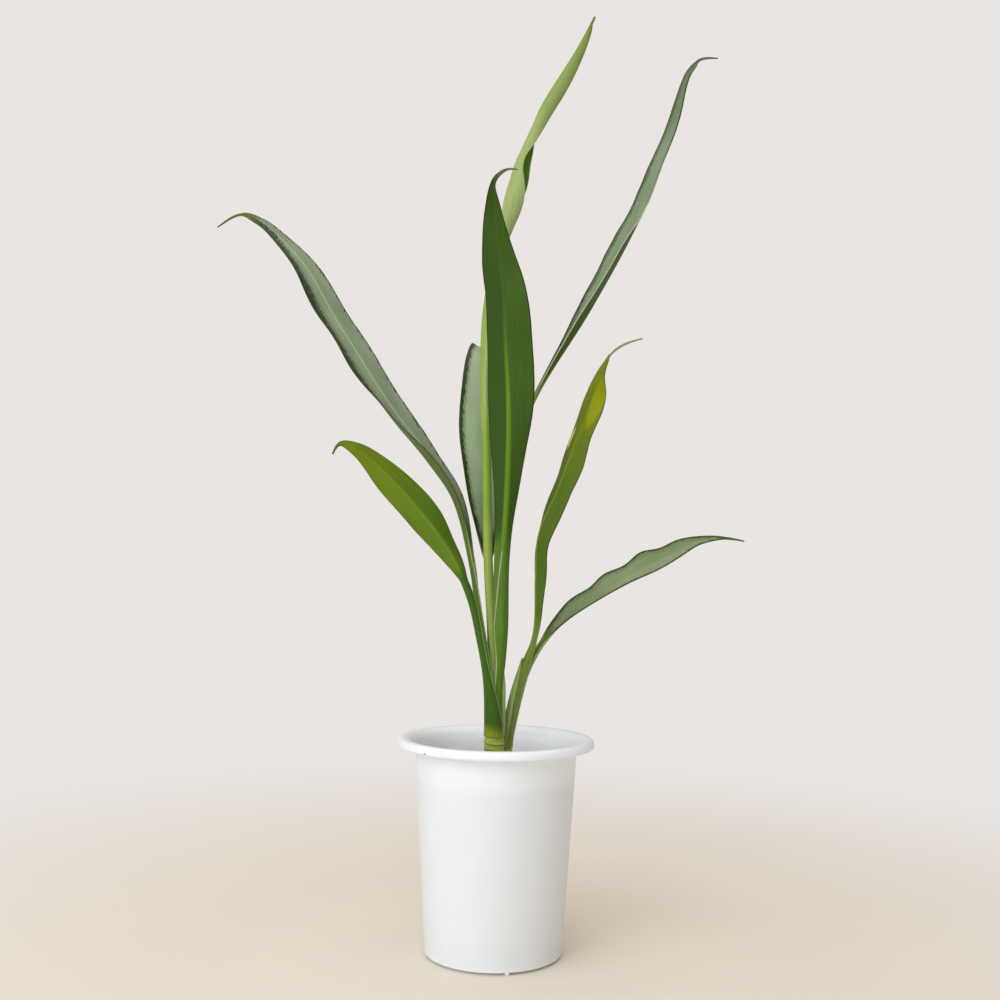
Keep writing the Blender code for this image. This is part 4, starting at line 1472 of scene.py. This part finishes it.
def right_long_leaf() -> Leaf:
    """The longest leaf, to the upper right, on a long stalk."""
    skin = LeafSkin(
        "right_long_skin", green=tint(44, 66, 30), silver=tint(134, 152, 120), silvered=0.92, margin=(2.6, 1.4),
        jag=1.4, mottled=(0.0, 0.6), mottle_reach=4.5, rib=tint(150, 164, 130), rib_strength=0.4,
        under=(tint(52, 84, 2), tint(52, 84, 2)), under_rib=tint(96, 118, 50), stalk=tint(96, 128, 52),
        ripe=tint(70, 92, 52), ripe_share=1.0, ripe_from=0.7, edge=tint(196, 208, 160), edge_far=tint(34, 50, 26),
        edge_width=0.7, edge_strength=0.8, tail=tint(72, 88, 36), tail_from=0.9, seed=5.0)
    return Leaf(
        "leaf_right_long_blade", "leaf_right_long", skin, "silver_leaf", Foot(36, FULL_RADII), facing=202.0,
        axis=MAIN_LINE, stalk_end=265.0, half_width=17.0, widest_at=0.45, base_taper=1.5, tip_taper=0.55,
        tail=1.5, fold=(42.0, 2.0), wave=(3.0, 3.0), seed=7,
        path=[(2, 4, 222, 10), (2, 6, 250, 0), (0, 8, 300, -6), (4, 10, 352, -6),
              (14, 18, 394, -6), (28.5, 29, 433, -8), (72, 44, 507, -2), (113.5, 57, 588, 4),
              (143, 69, 670, 2), (155, 75, 714, 5), (160, 78, 725, 25), (168, 81, 735, 50),
              (184, 84, 738, 60)])


def new_leaf() -> Leaf:
    """Newest leaf, still half rolled, pale underside to the front."""
    skin = LeafSkin(
        "new_skin", green=tint(98, 142, 42), under=(tint(148, 168, 88), tint(156, 172, 112)),
        under_rib=tint(190, 204, 124), under_rib_half=0.8, under_rib_strength=0.4, ripe=tint(104, 126, 40),
        ripe_share=0.85, ripe_from=0.7, edge=tint(150, 164, 92), edge_width=0.4, edge_strength=0.4,
        stalk=tint(146, 170, 76), stalk_edge=tint(200, 208, 160), tail=tint(96, 112, 44), tail_from=0.97,
        streaks=0.35, streak=tint(124, 146, 66), seed=6.0,
        scars=(Scar(203.0, 1.0, 42.0, 9.0, tint(130, 160, 56)),))
    return Leaf(
        "leaf_new_blade", "leaf_new", skin, "new_leaf", Foot(240, (1.3, 3.3), 118.0), facing=60.0,
        axis=MAIN_LINE, stalk_end=235.0, half_width=12.2, widest_at=0.6, base_taper=0.5,
        tip_taper=0.5, tail=1.0, tail_from=0.98, fold=(12.0, 8.0), curl=105.0, ripple=0.08,
        stalk_half=4.8, stalk_curl=118.0, stalk_thickness=1.7,
        scallop=(0.35, 0.35), wave_length=(107.0, 107.0), wave_start=(0.23, 0.23), seed=8,
        path=[(-5.5, 0, 240, 0), (-8.5, 1, 298, 30), (-11, 2, 390, 36), (-13, 5, 441, 36),
              (-7, 9, 536, 15), (-3, 10, 560, 0), (1, 10, 586, -40), (7, 12, 608, -85),
              (12, 12, 622, -85), (20, 9, 640, -35), (28.5, 7, 656, 5), (57, 5, 706, 5),
              (70, 5, 734, 0)])


def right_mid_leaf() -> Leaf:
    """Olive leaf of the side shoot that leans to the front on the right."""
    skin = LeafSkin(
        "right_mid_skin", green=tint(86, 112, 32), under=(tint(70, 96, 22), tint(82, 106, 30)),
        under_rib=tint(132, 150, 36), under_rib_half=0.9, under_rib_fade=(0.5, 0.95), ripe_share=0.75,
        ripe=tint(128, 134, 8), ripe_from=0.5, edge=tint(46, 64, 20), edge_strength=0.75,
        stalk=tint(114, 142, 56),
        stalk_edge=tint(120, 144, 64), tail=tint(128, 136, 96), tail_from=0.88, streaks=0.35,
        streak=tint(60, 78, 22), seed=7.0,
        scars=(Scar(284.0, -6.0, 26.0, 6.5, tint(134, 138, 8)),
               Scar(247.0, 11.0, 10.0, 2.2, tint(196, 184, 116)), Scar(239.0, 12.0, 2.4, 1.2, tint(128, 70, 44))))
    return Leaf(
        "leaf_right_mid_blade", "leaf_right_mid", skin, "olive_leaf",
        Foot(240, PAIR_RADII, PAIR_HALF_ANGLE, (60.0, 90.0)),
        facing=20.0, axis=SIDE_LINE, stalk_end=88.0, half_width=15.5, widest_at=0.6,
        base_taper=0.75, tip_taper=0.5, tail=0.9, tail_from=0.88, fold=(20.0, 2.0), seed=9,
        wave=(4.0, 4.0), scallop=(0.13, 0.01), wave_length=(46.0, 51.0), wave_start=(0.53, 0.71),
        path=[(29, 0, 243, 0), (29.5, -8, 285, 8), (31, -17, 317, 1),
              (44, -25, 350, 7), (57, -34, 387, 7), (71, -50, 426, 12), (75, -66, 440, -12),
              (79, -80, 446, -15), (86, -89, 450, -15), (98, -96, 453, -15)])


def right_low_leaf() -> Leaf:
    """Grey-green leaf of the side shoot that arches out low on the right."""
    skin = LeafSkin(
        "right_low_skin", green=tint(62, 92, 38), silver=tint(144, 157, 121), silvered=0.9, margin=(1.4, 1.6),
        jag=0.9, mottled=(0.0, 0.25), mottle_reach=4.0, rib=tint(136, 158, 116), rib_strength=0.3,
        under=(tint(118, 132, 50), tint(118, 132, 50)), under_rib=tint(132, 150, 70), stalk=tint(116, 144, 62),
        edge=tint(40, 58, 32), tail=tint(100, 108, 64), seed=8.0)
    return Leaf(
        "leaf_right_low_blade", "leaf_right_low", skin, "olive_leaf",
        Foot(60, PAIR_RADII, PAIR_HALF_ANGLE, (60.0, 90.0)),
        facing=200.0, axis=SIDE_LINE, stalk_end=86.0, half_width=10.5, widest_at=0.55,
        base_taper=0.6, tip_taper=1.2, tail=0.9, tail_from=0.94, fold=(18.0, 12.0), seed=10,
        wave=(5.0, 5.0), scallop=(0.16, 0.12), wave_length=(68.0, 36.0), wave_start=(0.2, 0.8),
        path=[(35, 12, 233, 20), (55, 20, 256, 33), (86, 26, 277, 30),
              (120, 36, 296, 42), (145, 45, 308, 40), (163, 51, 316, 42), (184, 56, 319, 48),
              (203, 60, 317, 47)])


def side_sheath() -> Leaf:
    """Thin sheath that clasps the foot of the side shoot."""
    return Leaf(
        "side_sheath_paper", "sheath_side", SheathSkin(), "sheath", Foot(205, (5.2, 6.1), 60.0, (20.0, 60.0)),
        facing=25.0, axis=SIDE_LINE, stalk_end=20.0, half_width=4.5, widest_at=0.2,
        base_taper=1.0, tip_taper=0.9, tail=0.4, tail_from=0.98, fold=(0.0, 0.0), curl=50.0,
        stalk_half=4.5, stalk_curl=58.0, stalk_thickness=0.8, stalk_rim=0.8, blade_rim=0.7,
        midrib=0.1, seed=12, ripple=0.1, row=0.8,
        path=[(19.5, 5, 222, 0)])


# Studio


@dataclass
class Studio:
    """Pale floor and backdrop, soft lights and the camera at the photograph's place."""

    camera_place: Point = (0.0, -0.893, 0.291)
    camera_up: float = 0.0596
    camera_roll: float = 0.0154
    lens: float = 41.4
    floor_reach: float = 60.0
    sky: Colour = tint(234, 229, 226)
    ambient: Colour = tint(166, 158, 148)
    floor_finish: FloorFinish = field(default_factory=FloorFinish)

    def build(self) -> None:
        """Make the floor, backdrop, lights and camera."""
        self.make_floor()
        self.make_sky()
        self.make_lights()
        self.make_camera()

    def make_floor(self) -> None:
        """Wide round floor."""
        shape = bmesh.new()
        bmesh.ops.create_circle(shape, cap_ends=True, segments=96, radius=self.floor_reach)
        mesh = bpy.data.meshes.new("floor")
        shape.to_mesh(mesh)
        shape.free()
        floor = bpy.data.objects.new("floor", mesh)
        mesh.materials.append(self.floor_finish.material())
        bpy.context.scene.collection.objects.link(floor)

    def make_sky(self) -> None:
        """Plain pale surroundings, which light the plant less than they show."""
        graph = Graph("studio", "worlds", "Background")
        seen = graph.node("ShaderNodeLightPath", {}, {}, "Is Camera Ray")
        bpy.context.scene.world = graph.dress(Color=graph.blend(seen, self.ambient, self.sky), Strength=1.0)

    def make_lights(self) -> None:
        """Large soft lights aimed at the plant."""
        for lamp in Lamp:
            place, size, power, colour = lamp.value
            data = bpy.data.lights.new(lamp.name.lower(), "AREA")
            data.shape = "DISK"
            data.size = size
            data.energy = power
            data.color = colour
            light = bpy.data.objects.new(lamp.name.lower(), data)
            light.location = place
            aim = Vector((0.0, 0.0, 0.35)) - Vector(place)
            light.rotation_euler = aim.to_track_quat("-Z", "Y").to_euler()
            bpy.context.scene.collection.objects.link(light)

    def make_camera(self) -> None:
        """Camera at the photograph's place, with its small roll."""
        data = bpy.data.cameras.new("camera")
        data.lens = self.lens
        data.sensor_width = 36.0
        data.clip_end = 200.0
        camera = bpy.data.objects.new("camera", data)
        turn = Matrix.Rotation(math.pi / 2 + self.camera_up, 4, "X") @ Matrix.Rotation(self.camera_roll, 4, "Z")
        camera.matrix_world = Matrix.Translation(self.camera_place) @ turn
        bpy.context.scene.collection.objects.link(camera)
        bpy.context.scene.camera = camera
        bpy.context.scene.view_settings.view_transform = "Standard"


def main() -> None:
    logging.basicConfig(level=logging.INFO, format="%(name)s: %(message)s")
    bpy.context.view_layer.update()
    Studio().build()
    makers: list[Pot | Cane | Leaf] = [
        Pot(),
        Cane("main_cane", "main_stem", (-1.5, 0.0), (-1.5, 0.0), 96.0, MAIN_TOP, 6.6, 8.1,
             (157.5, 152.5, 147.0, 141.0), 0.5, 21),
        Cane("side_cane", "side_stem", (6.4, 12.0), (8.4, 11.5), 100.0, SIDE_TOP, 3.7, 4.5,
             (147.0, 141.0), 0.35, 22),
        front_leaf(), left_low_leaf(), left_long_leaf(), back_leaf(), right_long_leaf(), new_leaf(),
        right_mid_leaf(), right_low_leaf(), side_sheath()]
    pieces = [maker.build() for maker in makers] + Filling().build()
    for piece in pieces:
        LOG.info("%s: %d faces", piece.name, len(piece.data.polygons))


if __name__ == "__main__":
    main()
